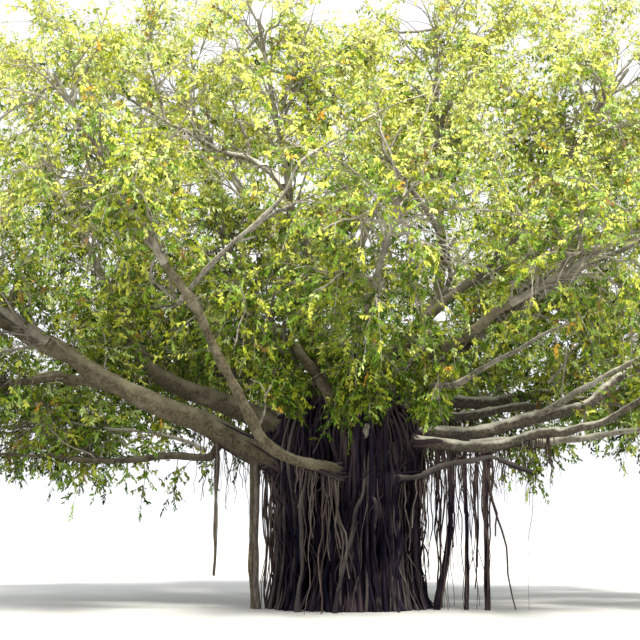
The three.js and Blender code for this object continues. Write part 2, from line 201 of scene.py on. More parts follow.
rootLook = {"grain": 9, "stretch": (3, 3, 0.6)}
# Painted light on the trunk's roots rises between these heights.
trunkLook = rootLook | {"heights": (1.6, 4.2)}
limbLook = {"grain": 18, "patches": 3, "bump": 1.0, "depth": 0.03, "sun": 0.5, "paleHigh": 0.6}
barkRows = {
    # The core is painted near-black blue as the shade in the gaps between the strands.
    "core_painted_shade": ((0.002, 0.002, 0.004), (0.005, 0.004, 0.008), (0.008, 0.007, 0.011),
             {"grain": 5, "stretch": (3, 3, 0.5), "bump": 0.8, "depth": 0.05, "shine": 0.02}),
    # The roots' dark, red and tan are their own colours, all darkened and tinted blue as painted shade under
    # the crown.
    "root_dark": ((0.002, 0.002, 0.006), (0.0045, 0.0038, 0.0105), (0.027, 0.020, 0.031),
                  trunkLook | {"shine": 0.04, "paleHigh": 0.45}),
    "root_red": ((0.004, 0.003, 0.006), (0.0105, 0.008, 0.0145), (0.064, 0.045, 0.049),
                 trunkLook | {"shine": 0.04, "paleHigh": 0.45}),
    "root_tan": ((0.012, 0.010, 0.012), (0.033, 0.028, 0.031), (0.115, 0.098, 0.087),
                 trunkLook | {"shine": 0.08, "paleHigh": 0.3}),
    "fringe_red": ((0.028, 0.018, 0.016), (0.085, 0.058, 0.050), (0.17, 0.125, 0.105), rootLook),
    "fringe_tan": ((0.045, 0.036, 0.031), (0.130, 0.107, 0.090), (0.27, 0.23, 0.185), rootLook),
    # The first of these three is the bough bark with painted sunlight on its pale tops, and the last is the
    # same bark darker, as painted shade for the inner and back boughs.
    "bough_painted_sun": ((0.044, 0.036, 0.027), (0.132, 0.113, 0.086), (0.68, 0.65, 0.55),
                   limbLook | {"patches": 4, "sun": 0.75, "paleFrom": 0.68, "paleHigh": 0.4}),
    "bough": ((0.046, 0.037, 0.022), (0.122, 0.101, 0.062), (0.29, 0.26, 0.175), limbLook),
    "bough_shade": ((0.032, 0.026, 0.018), (0.086, 0.071, 0.048), (0.25, 0.22, 0.165), limbLook),
    # The branch bark is paler than the bough bark, as painted sunlight on the branches in the crown.
    "branch": ((0.085, 0.075, 0.058), (0.27, 0.245, 0.195), (0.66, 0.63, 0.54),
               {"grain": 18, "patches": 3, "bump": 0.8, "sun": 0.7}),
    "twig": ((0.15, 0.13, 0.10), (0.32, 0.29, 0.235), (0.60, 0.57, 0.48),
             {"grain": 3, "patches": 0.8, "bump": 0.2, "paleHigh": 0.15}),
}
barks = {name: barkMaterial(name, *colours, **own) for name, (*colours, own) in barkRows.items()}

# Sunlit leaves are yellow-green as painted sunlight, those in shade a fuller green as painted shade, and a
# few old ones orange or brown. Each family goes from its darkest to its lightest.
leafColours = {
    "sunlit": [(0.070, 0.092, 0.004), (0.160, 0.195, 0.009), (0.310, 0.350, 0.024), (0.500, 0.530, 0.078),
              (0.660, 0.690, 0.135), (0.780, 0.810, 0.240)],
    "full": [(0.025, 0.050, 0.003), (0.062, 0.120, 0.006), (0.140, 0.235, 0.018), (0.270, 0.390, 0.078),
             (0.440, 0.560, 0.190), (0.640, 0.740, 0.360)],
    "old": [(0.200, 0.110, 0.030), (0.560, 0.330, 0.040)],
}
leafMaterials = [plainMaterial(f"leaf_{family}_{n}", colour, 0.5)
                 for family, colours in leafColours.items() for n, colour in enumerate(colours)]
tones = len(leafColours["sunlit"])
report("camera, light and materials")


# The tree's rule, in metres

# A station is [azimuth, reach, height]: azimuth 0 points to +X and 90 to +Y. A bough starts at a station
# in the trunk or on another bough, and runs by its bends to its mass, which has a middle and a spread,
# across and up.
def bough(root, bends, girth, middle, spread, start=None):
    return {"root": root, "from": start, "bends": bends, "girth": girth, "middle": middle, "spread": spread}


boughs = {
    "left_low": bough([188, 0.65, 2.7], [[188, 3.2, 3.98], [188, 5.8, 5.2]], [0.32, 0.14],
                      [194, 8.8, 7.1], [3.3, 2.9]),
    "left_fork": bough(None, [[177, 6.6, 5.17]], [0.12, 0.065],
                       [177, 9.3, 4.8], [2.5, 1.9], ("left_low", 0.6)),
    "left_thin": bough(None, [[175, 3.5, 3.33], [172, 5.7, 3.27]], [0.1, 0.055],
                       [163, 7.8, 4.3], [2.6, 1.6], ("left_low", 0.27)),
    "left_upper": bough([170, 0.65, 3.35], [[170, 3.0, 4.72], [168, 4.9, 5.65]], [0.3, 0.11],
                        [163, 7.4, 9.9], [3.5, 3.1]),
    "back_left": bough([148, 0.65, 4.15], [[148, 2.6, 5.2], [145, 4.1, 5.7]], [0.22, 0.1],
                       [137, 7.6, 6.6], [3.3, 2.9]),
    "back_low_left": bough([116, 0.65, 3.5], [[116, 2.7, 4.2], [115, 4.4, 4.8]], [0.23, 0.1],
                           [111, 8.0, 6.0], [3.4, 2.9]),
    "back": bough([95, 0.65, 4.15], [[97, 2.8, 5.3], [97, 4.6, 6.8]], [0.23, 0.105],
                  [98, 6.6, 9.6], [3.4, 2.9]),
    "back_low_right": bough([68, 0.65, 3.5], [[66, 2.7, 4.1], [65, 4.4, 4.6]], [0.22, 0.1],
                            [70, 8.0, 5.9], [3.4, 2.9]),
    "back_right": bough([50, 0.65, 4.3], [[41, 3.2, 5.23], [38, 5.4, 6.15]], [0.15, 0.075],
                        [48, 7.4, 9.0], [3.2, 2.9]),
    "right_upper": bough([29, 0.65, 4.35], [[25, 3.1, 4.66], [25, 5.2, 5.02]], [0.18, 0.095],
                         [29, 8.6, 6.6], [3.2, 2.7]),
    "right_inner": bough([13, 0.65, 4.08], [[14, 3.2, 4.34], [15, 5.3, 4.75]], [0.12, 0.07],
                         [13, 8.2, 4.6], [2.4, 1.7]),
    "right_mid": bough([0, 0.65, 3.68], [[0, 3.0, 3.97], [0, 5.4, 4.52]], [0.2, 0.095],
                       [4, 8.6, 6.6], [2.8, 2.3]),
    "right_low": bough([-24, 0.65, 3.72], [[-16, 3.3, 3.47], [-15, 4.6, 3.76], [-15, 5.7, 4.02]],
                       [0.14, 0.065], [-18, 8.5, 5.6], [2.9, 2.3]),
    "right_rising": bough([22, 0.75, 4.6], [[11, 2.05, 5.8], [10, 3.9, 6.87]], [0.2, 0.085],
                          [8, 6.6, 10.0], [3.2, 2.9]),
    "right_front": bough([-45, 0.7, 4.55], [[-38, 1.9, 6.1], [-25, 3.5, 7.45]], [0.14, 0.06],
                         [-31, 5.9, 10.1], [3.1, 2.8]),
    "front_right": bough([-56, 0.65, 4.15], [[-50, 2.7, 5.4]], [0.17, 0.08], [-47, 7.2, 7.0], [3.3, 2.7]),
    "front": bough([-90, 0.65, 4.25], [[-88, 2.6, 5.3]], [0.18, 0.085], [-84, 6.1, 7.0], [3.1, 2.8]),
    "front_left": bough([-84, 0.85, 2.85],
                        [[-106, 2.18, 2.9], [-121, 3.18, 3.48], [-124, 4.1, 4.45], [-125, 5.15, 5.6]],
                        [0.135, 0.085], [-131, 7.4, 8.8], [3.4, 3.2]),
    "top_left": bough([160, 0.3, 4.7], [[165, 1.0, 6.2], [142, 1.8, 8.1]], [0.29, 0.095],
                      [150, 4.4, 12.0], [3.3, 2.8]),
    "top_middle": bough([-25, 0.5, 4.6], [[-20, 1.2, 5.7], [-3, 2.1, 7.3]], [0.215, 0.08],
                        [-20, 2.2, 12.1], [3.2, 2.8]),
    "top_back": bough([90, 0.4, 4.7], [[95, 1.25, 6.2], [90, 1.9, 7.9]], [0.22, 0.08],
                      [68, 4.1, 11.8], [3.2, 2.8]),
    "top_front": bough([-130, 0.5, 4.65], [[-127, 1.4, 6.2], [-116, 2.4, 7.6]], [0.19, 0.075],
                       [-112, 4.4, 10.6], [3.1, 2.7]),
    "inner_left": bough([150, 0.65, 4.4], [[158, 1.9, 5.7]], [0.13, 0.07], [160, 4.5, 7.3], [2.6, 2.3]),
    "inner_front": bough([-152, 0.65, 4.4], [[-147, 1.35, 5.25]], [0.12, 0.065],
                         [-143, 3.0, 7.4], [2.4, 2.2]),
    "inner_right": bough([-8, 0.65, 4.3], [[-9, 1.9, 5.25]], [0.13, 0.07], [-10, 4.5, 6.9], [2.6, 2.2]),
}
stub = {"root": [-62, 1.05, 2.72], "bends": [[-40, 1.9, 2.86], [-27, 2.75, 3.18], [-24, 3.5, 3.05]],
        "tip": [-22, 4.25, 2.86], "girth": [0.085, 0.038]}
entryShare = 0.8
boughNames = list(boughs)
limbs = boughs | {"right_stub": stub}

# Roots that hang free from a bough at a share of its length: the height of the foot, which is 0 where it
# has reached the ground, the foot's place beside the top, and the girth at both ends.
hangers = {
    "left_prop": ("left_low", 0.19, 0, [0.06, -0.06], [0.11, 0.115]),
    "left_hanger_long": ("left_low", 0.3, 0.7, [-0.04, 0.06], [0.045, 0.024]),
    "right_prop_near": ("right_low", 0.15, 0, [-0.37, -0.06], [0.066, 0.074]),
    "right_prop_mid": ("right_low", 0.18, 0, [-0.04, 0.03], [0.042, 0.045]),
    "right_prop_far": ("right_low", 0.225, 0, [-0.02, 0.06], [0.05, 0.058]),
    "right_hanger_near": ("right_low", 0.205, 0.9, [-0.03, 0.04], [0.036, 0.016]),
    "back_prop": ("back_low_left", 0.26, 0, [-0.06, 0.06], [0.09, 0.095]),
    "back_prop_right": ("back_low_right", 0.26, 0, [0.07, 0.05], [0.075, 0.08]),
}

goldenTurn = math.pi * (3 - math.sqrt(5))
wordSize = 2 ** 32
keyStep, drawStep = 2654435761, 0x6D2B79F5


# Numbers from 0 to 1 that are the same on each run, for one twig.
def drawFor(*keys):
    state = 0
    for key in keys:
        state = (state + key + 1) * keyStep % wordSize

    def draw():
        nonlocal state
        state = (state + drawStep) % wordSize
        mixed = (state ^ (state >> 15)) * (state | 1) % wordSize
        mixed ^= (mixed + (mixed ^ (mixed >> 7)) * (mixed | 61) % wordSize) % wordSize
        return (mixed ^ (mixed >> 14)) / wordSize

    return draw


def between(limits, share):
    return limits[0] + (limits[1] - limits[0]) * share


def station(azimuth, reach, height):
    turn = math.radians(azimuth)
    return np.array([reach * math.cos(turn), reach * math.sin(turn), height])


def unit(vectors):
    return vectors / np.maximum(np.linalg.norm(vectors, axis=-1, keepdims=True), 1e-9)


# A smooth line through points, as a function of a share or an array of shares of its length.
def lineThrough(points):
    points = np.array(points, float)
    padded = np.vstack([2 * points[0] - points[1], points, 2 * points[-1] - points[-2]])

    def at(share):
        along = np.clip(np.asarray(share, float), 0, 1) * (len(points) - 1)
        step = np.minimum(along.astype(int), len(points) - 2)
        t = (along - step)[..., None]
        a, b, c, d = (padded[step + n] for n in range(4))
        leaving, arriving = (c - a) / 2, (d - b) / 2
        bend = 2 * b - 2 * c + leaving + arriving
        turn = -3 * b + 3 * c - 2 * leaving - arriving
        return ((bend * t + turn) * t + leaving) * t + b

    return at


def lineInPhoto(spots):
    return lineThrough([fromPhoto(*spot) for spot in spots])


def bowThrough(start, bend, end):
    def at(share):
        t = np.asarray(share, float)[..., None]
        return (1 - t) ** 2 * start + 2 * (1 - t) * t * bend + t ** 2 * end

    return at


def tangent(line, share):
    share = np.asarray(share, float)
    return unit(line(np.minimum(share + 1e-4, 1)) - line(np.maximum(share - 1e-4, 0)))


# A level and an upright direction square to each of the given ones.
def frames(ahead):
    level = np.stack([-ahead[..., 1], ahead[..., 0], np.zeros(ahead.shape[:-1])], -1)
    level[np.linalg.norm(level, axis=-1) < 1e-3] = (1, 0, 0)
    level = unit(level)
    return level, np.cross(ahead, level)


# Directions round a line, at the given turns from the level.
def around(ahead, turns):
    level, upright = frames(ahead)
    return level * np.cos(turns)[..., None] + upright * np.sin(turns)[..., None]


# Places along a limb and its thickness there.
def dotsAlong(line, girth, shares, room=1):
    return np.column_stack([line(shares), between(girth, shares) * room])


def boughLine(name, one):
    start = limbLines[one["from"][0]](one["from"][1]) if one["from"] else station(*one["root"])
    bends = [station(*bend) for bend in one["bends"]]
    index = boughNames.index(name)
    out = bends[-1] - middles[index]
    tip = middles[index] + out * entryShare / np.linalg.norm(out / spreads[index])
    return lineThrough([start, *bends, tip])


middles = np.array([station(*one["middle"]) for one in boughs.values()])
spreads = np.array([[one["spread"][0], one["spread"][0], one["spread"][1]] for one in boughs.values()])
limbLines = {}
for name, one in boughs.items():
    limbLines[name] = boughLine(name, one)
stubSpots = [stub["root"], *stub["bends"], stub["tip"]]
limbLines["right_stub"] = lineThrough([station(*spot) for spot in stubSpots])
rooted = [name for name, one in limbs.items() if not one.get("from")]


# Making meshes

def addObject(name, mesh):
    piece = bpy.data.objects.new(name, mesh)
    bpy.context.scene.collection.objects.link(piece)
    return piece


# Tubes as one curve: each run is its points, their radii and its material. The curve is then made a mesh.
def tubesFromRuns(name, runs, materials, roundness):
    curve = bpy.data.curves.new(name + "_line", "CURVE")
    curve.dimensions = "3D"
    curve.bevel_depth = 1.0
    curve.bevel_resolution = roundness
    curve.use_fill_caps = True
    for mat in materials:
        curve.materials.append(mat)
    for points, radii, slot in runs:
        spline = curve.splines.new("POLY")
        spline.points.add(len(points) - 1)
        spline.points.foreach_set("co", np.column_stack([points, np.ones(len(points))]).ravel())
        spline.points.foreach_set("radius", np.asarray(radii, float))
        spline.material_index = slot
        spline.use_smooth = True
    holder = addObject(name + "_line", curve)
    graph = bpy.context.evaluated_depsgraph_get()
    mesh = bpy.data.meshes.new_from_object(holder.evaluated_get(graph))
    bpy.data.objects.remove(holder)
    bpy.data.curves.remove(curve)
    mesh.name = name
    return addObject(name, mesh)


# Lumps and furrows as real relief: each is a noise's size in metres and how far it moves the skin.
def roughen(piece, noises):
    for number, (size, strength) in enumerate(noises):
        texture = bpy.data.textures.new(f"{piece.name}_{number}", "CLOUDS")
        texture.noise_scale = size
        texture.noise_depth = 2
        bump = piece.modifiers.new("relief", "DISPLACE")
        bump.texture = texture
        bump.texture_coords = "LOCAL"
        bump.strength = strength
        bump.mid_level = 0.5
    graph = bpy.context.evaluated_depsgraph_get()
    mesh = bpy.data.meshes.new_from_object(piece.evaluated_get(graph))
    old = piece.data
    piece.modifiers.clear()
    piece.data = mesh
    bpy.data.meshes.remove(old)
    mesh.name = piece.name


# How much each spot of the skin faces the sky, for the painted sunlight on the bark's tops.
def paintSun(piece):
    mesh = piece.data
    normals = np.zeros(len(mesh.vertices) * 3, np.float32)
    mesh.vertices.foreach_get("normal", normals)
    sun = mesh.attributes.new("sun", "FLOAT", "POINT")
    sun.data.foreach_set("value", np.clip(normals[2::3], 0, 1))


# Roots end flat where they meet the ground.
def endAtGround(piece):
    spots = np.zeros(len(piece.data.vertices) * 3, np.float32)
    piece.data.vertices.foreach_get("co", spots)
    spots[2::3] = np.maximum(spots[2::3], 0)
    piece.data.vertices.foreach_set("co", spots)


def handOver(piece, slot, *nodes):
    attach(piece, "root")
    if nodes:
        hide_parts(*nodes)


def finishBark(piece, lumps, slot, *nodes, grounded=False):
    if lumps:
        roughen(piece, lumps)
    if grounded:
        endAtGround(piece)
    paintSun(piece)
    handOver(piece, slot, *nodes)


# A joined mesh of many like small things, straight from arrays. Each part is its corners, its faces (all
# with as many corners) and the material of each face.
def meshFromArrays(name, parts, materials, smooth=False):
    corners, loops, starts, slots, base, used = [], [], [], [], 0, 0
    for spots, faces, slot in parts:
        count, sides = faces.shape
        corners.append(spots)
        loops.append((faces + base).ravel())
        starts.append(used + np.arange(count) * sides)
        slots.append(np.broadcast_to(slot, count))
        base += len(spots)
        used += count * sides
    corners, loops, starts, slots = (np.concatenate(rows) for rows in (corners, loops, starts, slots))
    mesh = bpy.data.meshes.new(name)
    mesh.vertices.add(len(corners))
    mesh.vertices.foreach_set("co", corners.astype(np.float32).ravel())
    mesh.loops.add(len(loops))
    mesh.loops.foreach_set("vertex_index", loops.astype(np.int32))
    mesh.polygons.add(len(starts))
    mesh.polygons.foreach_set("loop_start", starts.astype(np.int32))
    mesh.polygons.foreach_set("material_index", slots.astype(np.int32))
    mesh.polygons.foreach_set("use_smooth", np.full(len(starts), smooth))
    for mat in materials:
        mesh.materials.append(mat)
    mesh.update(calc_edges=True)
    mesh.validate()
    return addObject(name, mesh)


# A slow wander for a line of points, nothing at its ends.
waveSet = {"fadeIn": 6, "waves": 3, "stretch": (0.8, 1.3)}


def wander(points, rng, amount):
    share = np.linspace(0, 1, len(points))
    fade = np.clip(share * (1 - share) * waveSet["fadeIn"], 0, 1)
    moved = points.copy()
    for axis in range(3):
        for wave in range(1, waveSet["waves"] + 1):
            phase = rng.uniform(0, 2 * math.pi)
            turns = share * math.pi * 2 * wave * rng.uniform(*waveSet["stretch"])
            moved[:, axis] += fade * amount / wave * np.sin(turns + phase)
    return moved


# Trunk

# The bundle: a core painted near-black blue as the shade in the gaps, then ribs of roots grown together
# round it, then thinner roots in front with gaps between them. The strands of a rib share its turn round
# the trunk.
trunkSet = {
    "skin": [[0, 1.70], [0.3, 1.58], [1.0, 1.51], [2.0, 1.49], [2.9, 1.53], [3.7, 1.56], [4.25, 1.40],
             [4.75, 1.05], [5.25, 0.70], [5.8, 0.40]],
    "depthShare": 0.9, "coreShare": 0.7, "coreSides": 144, "coreTop": 0.1,
    "coreLumps": [(0.5, 0.16), (0.12, 0.05)], "strandLumps": [(0.16, 0.03)],
    "layers": [
        {"ribs": 36, "strands": (1, 4), "width": 2.2, "skin": (0.78, 0.88), "girth": (0.04, 0.10),
         "wander": 0.05, "foot": (0, 0), "top": (3.9, 5.2), "swing": 5, "colours": (0.9, 0.1)},
        {"ribs": 30, "strands": (2, 6), "width": 2.0, "skin": (0.88, 1.0), "girth": (0.014, 0.055),
         "wander": 0.085, "foot": (0, 0), "top": (3.3, 4.9), "swing": 8, "colours": (0.58, 0.36)},
        {"ribs": 40, "strands": (1, 4), "width": 3.5, "skin": (0.98, 1.07), "girth": (0.008, 0.026),
         "wander": 0.11, "foot": (0, 2.2), "top": (2.9, 4.4), "swing": 15, "colours": (0.32, 0.45)},
    ],
    "steps": 34, "ribStray": 0.3, "ownSwing": 0.4, "grounded": 0.5, "finer": 1.6, "hangingTaper": 0.8,
    "thinnest": 0.15, "flare": 0.16, "flareReach": 0.35, "seed": 41,
}
rootColours = [barks["root_dark"], barks["root_red"], barks["root_tan"]]


def skinAt(heights):
    skin = np.array(trunkSet["skin"])
    return np.interp(heights, skin[:, 0], skin[:, 1])


def makeCore():
    shape = bmesh.new()
    profile = [(0, 0)] + [(radius * trunkSet["coreShare"], height) for height, radius in trunkSet["skin"]]
    profile.append((0, trunkSet["skin"][-1][0] + trunkSet["coreTop"]))
    ring = [shape.verts.new((radius, 0, height)) for radius, height in profile]
    edges = [shape.edges.new(pair) for pair in zip(ring, ring[1:])]
    bmesh.ops.spin(shape, geom=ring + edges, axis=(0, 0, 1), cent=(0, 0, 0), angle=2 * math.pi,
                   steps=trunkSet["coreSides"], use_merge=True)
    bmesh.ops.remove_doubles(shape, verts=shape.verts, dist=1e-4)
    bmesh.ops.scale(shape, vec=(1, trunkSet["depthShare"], 1), verts=shape.verts)
    bmesh.ops.recalc_face_normals(shape, faces=shape.faces)
    mesh = bpy.data.meshes.new("trunk_core")
    shape.to_mesh(mesh)
    shape.free()
    mesh.materials.append(barks["core_painted_shade"])
    return addObject("trunk_core", mesh)


rootSet = {"swell": 0.28, "waves": 3, "rate": (2, 7), "phase": (0, 6), "footSpread": 0.5, "footReach": 0.22}


# The girth of a root swells and thins along it, and spreads at the ground.
def rootRadii(girth, heights, rng):
    waves = sum(np.sin(heights * rng.uniform(*rootSet["rate"]) + rng.uniform(*rootSet["phase"]))
                for n in range(rootSet["waves"])) / rootSet["waves"]
    foot = 1 + rootSet["footSpread"] * np.exp(-heights / rootSet["footReach"])
    return girth * (1 + rootSet["swell"] * waves) * foot


def roundTrunk(radius, turns, heights):
    return np.column_stack([radius * np.cos(turns), radius * np.sin(turns) * trunkSet["depthShare"], heights])


def wanderLevel(points, rng, amount):
    moved = wander(points, rng, amount)
    moved[:, 2] = points[:, 2]
    return moved


def pickColour(rng, dark, red):
    pick = rng.uniform()
    return 0 if pick < dark else 1 if pick < dark + red else 2


# Strands that meet the foot of a limb bulge over it, as far as they may.
waySet = {"limbTo": 0.3, "dots": 24, "limbRoom": 1.2, "strandRoom": 0.6, "tries": 4, "bulge": 0.38,
          "soften": (0.25, 0.5, 0.25)}


def makeWay(points, girth, feet):
    outward = unit(points * (1, 1, 0))
    push = np.zeros(len(points))
    for attempt in range(waySet["tries"]):
        moved = points + outward * push[:, None]
        apart = np.linalg.norm(moved[:, None] - feet[None, :, :3], axis=2)
        push += np.clip((feet[:, 3] + girth * waySet["strandRoom"] - apart).max(1), 0, None)
    push = np.where(push > waySet["bulge"], 0, push)
    soft = np.convolve(np.pad(push, 1, "edge"), waySet["soften"], "valid")
    return points + outward * np.maximum(push, soft)[:, None]


def strandRun(layer, ribTurn, ribSwing, feet, rng):
    turn = ribTurn + math.radians(rng.normal(0, layer["width"]))
    foot, top = rng.uniform(*layer["foot"]), rng.uniform(*layer["top"])
    foot = 0 if rng.uniform() < trunkSet["grounded"] else foot
    heights = np.linspace(foot, top, trunkSet["steps"])
    swing = math.radians(ribSwing + rng.normal(0, layer["swing"] * trunkSet["ownSwing"]))
    turns = turn + swing * (heights / top - 0.5)
    radius = skinAt(heights) * rng.uniform(*layer["skin"])
    radius += trunkSet["flare"] * rng.uniform(0, 1) * np.exp(-heights / trunkSet["flareReach"])
    points = wanderLevel(roundTrunk(radius, turns, heights), rng, layer["wander"])
    girth = between(layer["girth"], rng.uniform() ** trunkSet["finer"])
    points = makeWay(points, girth, feet)
    radii = rootRadii(girth, heights, rng)
    if foot > 0:
        radii *= np.clip((heights - foot) / trunkSet["hangingTaper"], trunkSet["thinnest"], 1)
    return points, radii, pickColour(rng, *layer["colours"])


def strandRuns():
    shares = np.linspace(0, waySet["limbTo"], waySet["dots"])
    feet = np.vstack([dotsAlong(limbLines[name], limbs[name]["girth"], shares, waySet["limbRoom"])
                      for name in rooted])
    rng = np.random.default_rng(trunkSet["seed"])
    runs = []
    for layer in trunkSet["layers"]:
        for rib in range(layer["ribs"]):
            stray = rng.uniform(-trunkSet["ribStray"], trunkSet["ribStray"])
            ribTurn = 2 * math.pi * (rib + stray) / layer["ribs"]
            ribSwing = rng.normal(0, layer["swing"])
            for k in range(rng.integers(*layer["strands"], endpoint=True)):
                runs.append(strandRun(layer, ribTurn, ribSwing, feet, rng))
    return runs


# The root that leans against the front of the trunk, and two more that part from the bundle, as the photo
# shows: girth, colour and places.
leaningRoots = [
    (0.045, 2, [
        [0.34, -1.2, 3.4], [0.27, -1.52, 2.5], [0.05, -1.7, 1.85], [-0.14, -1.78, 0.9], [-0.33, -1.88, 0]]),
    (0.022, 1, [
        [0.6, -1.1, 3.1], [0.64, -1.45, 2.2], [0.76, -1.56, 1.4], [0.95, -1.62, 0.45], [1.0, -1.62, 0]]),
    (0.05, 2, [[-0.9, -1.0, 3.0], [-1.02, -1.36, 2.0], [-1.05, -1.42, 1.0], [-1.1, -1.5, 0]]),
]
leaningSet = {"steps": 30, "wander": 0.03, "taper": (0.3, 4)}


def leaningRuns():
    rng = np.random.default_rng(trunkSet["seed"] + 1)
    runs = []
    for girth, colour, places in leaningRoots:
        points = lineThrough(places)(np.linspace(0, 1, leaningSet["steps"]))
        points = wander(points, rng, leaningSet["wander"])
        points[:, 2] = np.maximum(points[:, 2], 0)
        taper = np.clip(np.linspace(*leaningSet["taper"], len(points)), 0, 1)
        runs.append((points, rootRadii(girth, points[:, 2], rng) * taper, colour))
    return runs


# Strands of the bundle that pass in front of a limb's foot and hold it: their turn round the trunk and
# how widely they part, how many, the height of the foot, how far they bulge over it, and their top.
grips = [(-88, 4.0, 11, 2.85, (0.20, 0.34), 4.3), (-53, 4.0, 7, 2.75, (0.08, 0.2), 4.0)]
gripSet = {"topRange": 1.0, "swing": 3, "skin": (0.98, 1.03), "bulgeReach": 0.5, "wander": 0.05,
           "girth": (0.014, 0.045), "colours": (0.45, 0.4, 0.15)}


def gripRuns():
    rng = np.random.default_rng(trunkSet["seed"] + 2)
    runs = []
    for turn, apart, count, middle, bulge, top in grips:
        for k in range(count):
            heights = np.linspace(0, rng.uniform(top - gripSet["topRange"], top), trunkSet["steps"])
            start = turn + rng.normal(0, apart)
            turns = np.radians(start + rng.normal(0, gripSet["swing"]) * (heights / top - 0.5))
            radius = skinAt(heights) * rng.uniform(*gripSet["skin"])
            radius += rng.uniform(*bulge) * np.exp(-((heights - middle) / gripSet["bulgeReach"]) ** 2)
            points = wanderLevel(roundTrunk(radius, turns, heights), rng, gripSet["wander"])
            radii = rootRadii(rng.uniform(*gripSet["girth"]), heights, rng)
            runs.append((points, radii, rng.choice(3, p=gripSet["colours"])))
    return runs


# Roots that clasp the foot of a bough and run down the trunk from it, so that bough and bundle grow
# together. Some of those under a low bough rise past it instead.
claspSet = {
    "each": 6, "more": {"front_left": 16, "left_low": 12, "right_low": 10},
    "reach": (0.08, 0.34), "shorter": {"right_low": 0.5, "right_mid": 0.6}, "nearest": 0.03, "spots": 5,
    "winding": 0.5, "swell": 0.35, "skinShare": 0.8, "aside": 0.12, "sway": 0.1, "skin": (0.94, 1.07),
    "lowRoot": 3.4, "rising": 0.3, "riseStep": 0.4, "fallStep": 0.45, "top": 4.7,
    "steps": 34, "wander": 0.04, "girth": (0.014, 0.05), "finer": 1.4, "taper": (0, 12), "thinnest": 0.1,
    "seed": 43, "colours": (0.35, 0.45), "paler": {
        "front_left": (0.1, 0.4), "left_low": (0.25, 0.45), "right_low": (0, 0.3), "right_mid": (0, 0.3),
        "right_inner": (0, 0.3), "right_upper": (0, 0.3)},
}


# The upper part of a clasping root, round the limb's foot and outside the trunk's skin.
def claspSpots(name, line, rng):
    far = rng.uniform(*claspSet["reach"]) * claspSet["shorter"].get(name, 1)
    shares = np.linspace(far, claspSet["nearest"], claspSet["spots"])
    along = np.linspace(0, 1, claspSet["spots"])
    spots = line(shares)
    turn = rng.uniform(0, 2 * math.pi) + rng.normal(0, claspSet["winding"]) * along
    radius = between(limbs[name]["girth"], shares) * (1 + claspSet["swell"] * along)
    spots += around(tangent(line, shares), turn) * radius[:, None]
    reach = np.hypot(spots[:, 0], spots[:, 1] / trunkSet["depthShare"])
    return spots[reach > skinAt(spots[:, 2]) * claspSet["skinShare"]]


def claspRun(name, spots, rng):
    last = spots[-1]
    at = math.atan2(last[1], last[0]) + rng.normal(0, claspSet["aside"])
    skin = rng.uniform(*claspSet["skin"])
    rises = limbs[name]["root"][2] < claspSet["lowRoot"] and rng.uniform() < claspSet["rising"]
    ends = (last[2] + claspSet["riseStep"], claspSet["top"]) if rises else (last[2] - claspSet["fallStep"], 0)
    heights = np.linspace(*ends, claspSet["spots"])
    turns = at + rng.normal(0, claspSet["sway"]) * np.linspace(0, 1, claspSet["spots"])
    line = lineThrough(np.vstack([spots, roundTrunk(skinAt(heights) * skin, turns, heights)]))
    points = wander(line(np.linspace(0, 1, claspSet["steps"])), rng, claspSet["wander"])
    points[:, 2] = np.maximum(points[:, 2], 0)
    radii = rootRadii(between(claspSet["girth"], rng.uniform() ** claspSet["finer"]), points[:, 2], rng)
    radii *= np.clip(np.linspace(*claspSet["taper"], claspSet["steps"]), claspSet["thinnest"], 1)
    return points, radii, pickColour(rng, *claspSet["paler"].get(name, claspSet["colours"]))


def claspRuns():
    rng = np.random.default_rng(claspSet["seed"])
    runs = []
    for name in rooted:
        for k in range(claspSet["more"].get(name, claspSet["each"])):
            spots = claspSpots(name, limbLines[name], rng)
            if len(spots) > 1:
                runs.append(claspRun(name, spots, rng))
    return runs


finishBark(makeCore(), trunkSet["coreLumps"], "trunk_bark", "trunk", grounded=True)
for label, runs in (("trunk_roots", strandRuns()), ("trunk_clasp", claspRuns() + leaningRuns() + gripRuns())):
    strands = tubesFromRuns(label, runs, rootColours, 1)
    finishBark(strands, trunkSet["strandLumps"], "trunk_bark", "trunk", grounded=True)
    report(f"{label}: {len(runs)} roots, {len(strands.data.polygons)} faces")


# Boughs

boughSet = {
    "steps": 90, "roundness": 4, "coarser": {"right_stub": 3}, "wander": 0.07,
    "lumps": [(0.4, 0.08), (0.12, 0.04), (0.04, 0.016)], "rootSwell": 0.45, "rootLength": 0.13,
    "slimmer": {"right_rising": 0.85}, "seed": 7,
    "barks": {
        "bough": ["left_low", "left_fork", "front_left", "left_upper", "front", "front_right", "top_left",
                  "top_middle"],
        "bough_painted_sun": ["right_low", "right_mid", "right_inner", "right_upper", "right_rising"],
        "root_tan": ["right_stub"],
    },
}
boughBarks = {name: bark for bark, names in boughSet["barks"].items() for name in names}


def makeBough(name, rng):
    share = np.linspace(0, 1, boughSet["steps"])
    points = wander(limbLines[name](share), rng, boughSet["wander"])
    swell = 1 + boughSet["rootSwell"] * np.clip(1 - share / boughSet["rootLength"], 0, 1) ** 2
    girth = np.array(limbs[name]["girth"]) * boughSet["slimmer"].get(name, 1)
    skin = barks[boughBarks.get(name, "bough_shade")]
    roundness = boughSet["coarser"].get(name, boughSet["roundness"])
    piece = tubesFromRuns("limb_" + name, [(points, between(girth, share) * swell, 0)], [skin], roundness)
    finishBark(piece, boughSet["lumps"], "bough_bark", "bough_" + name)


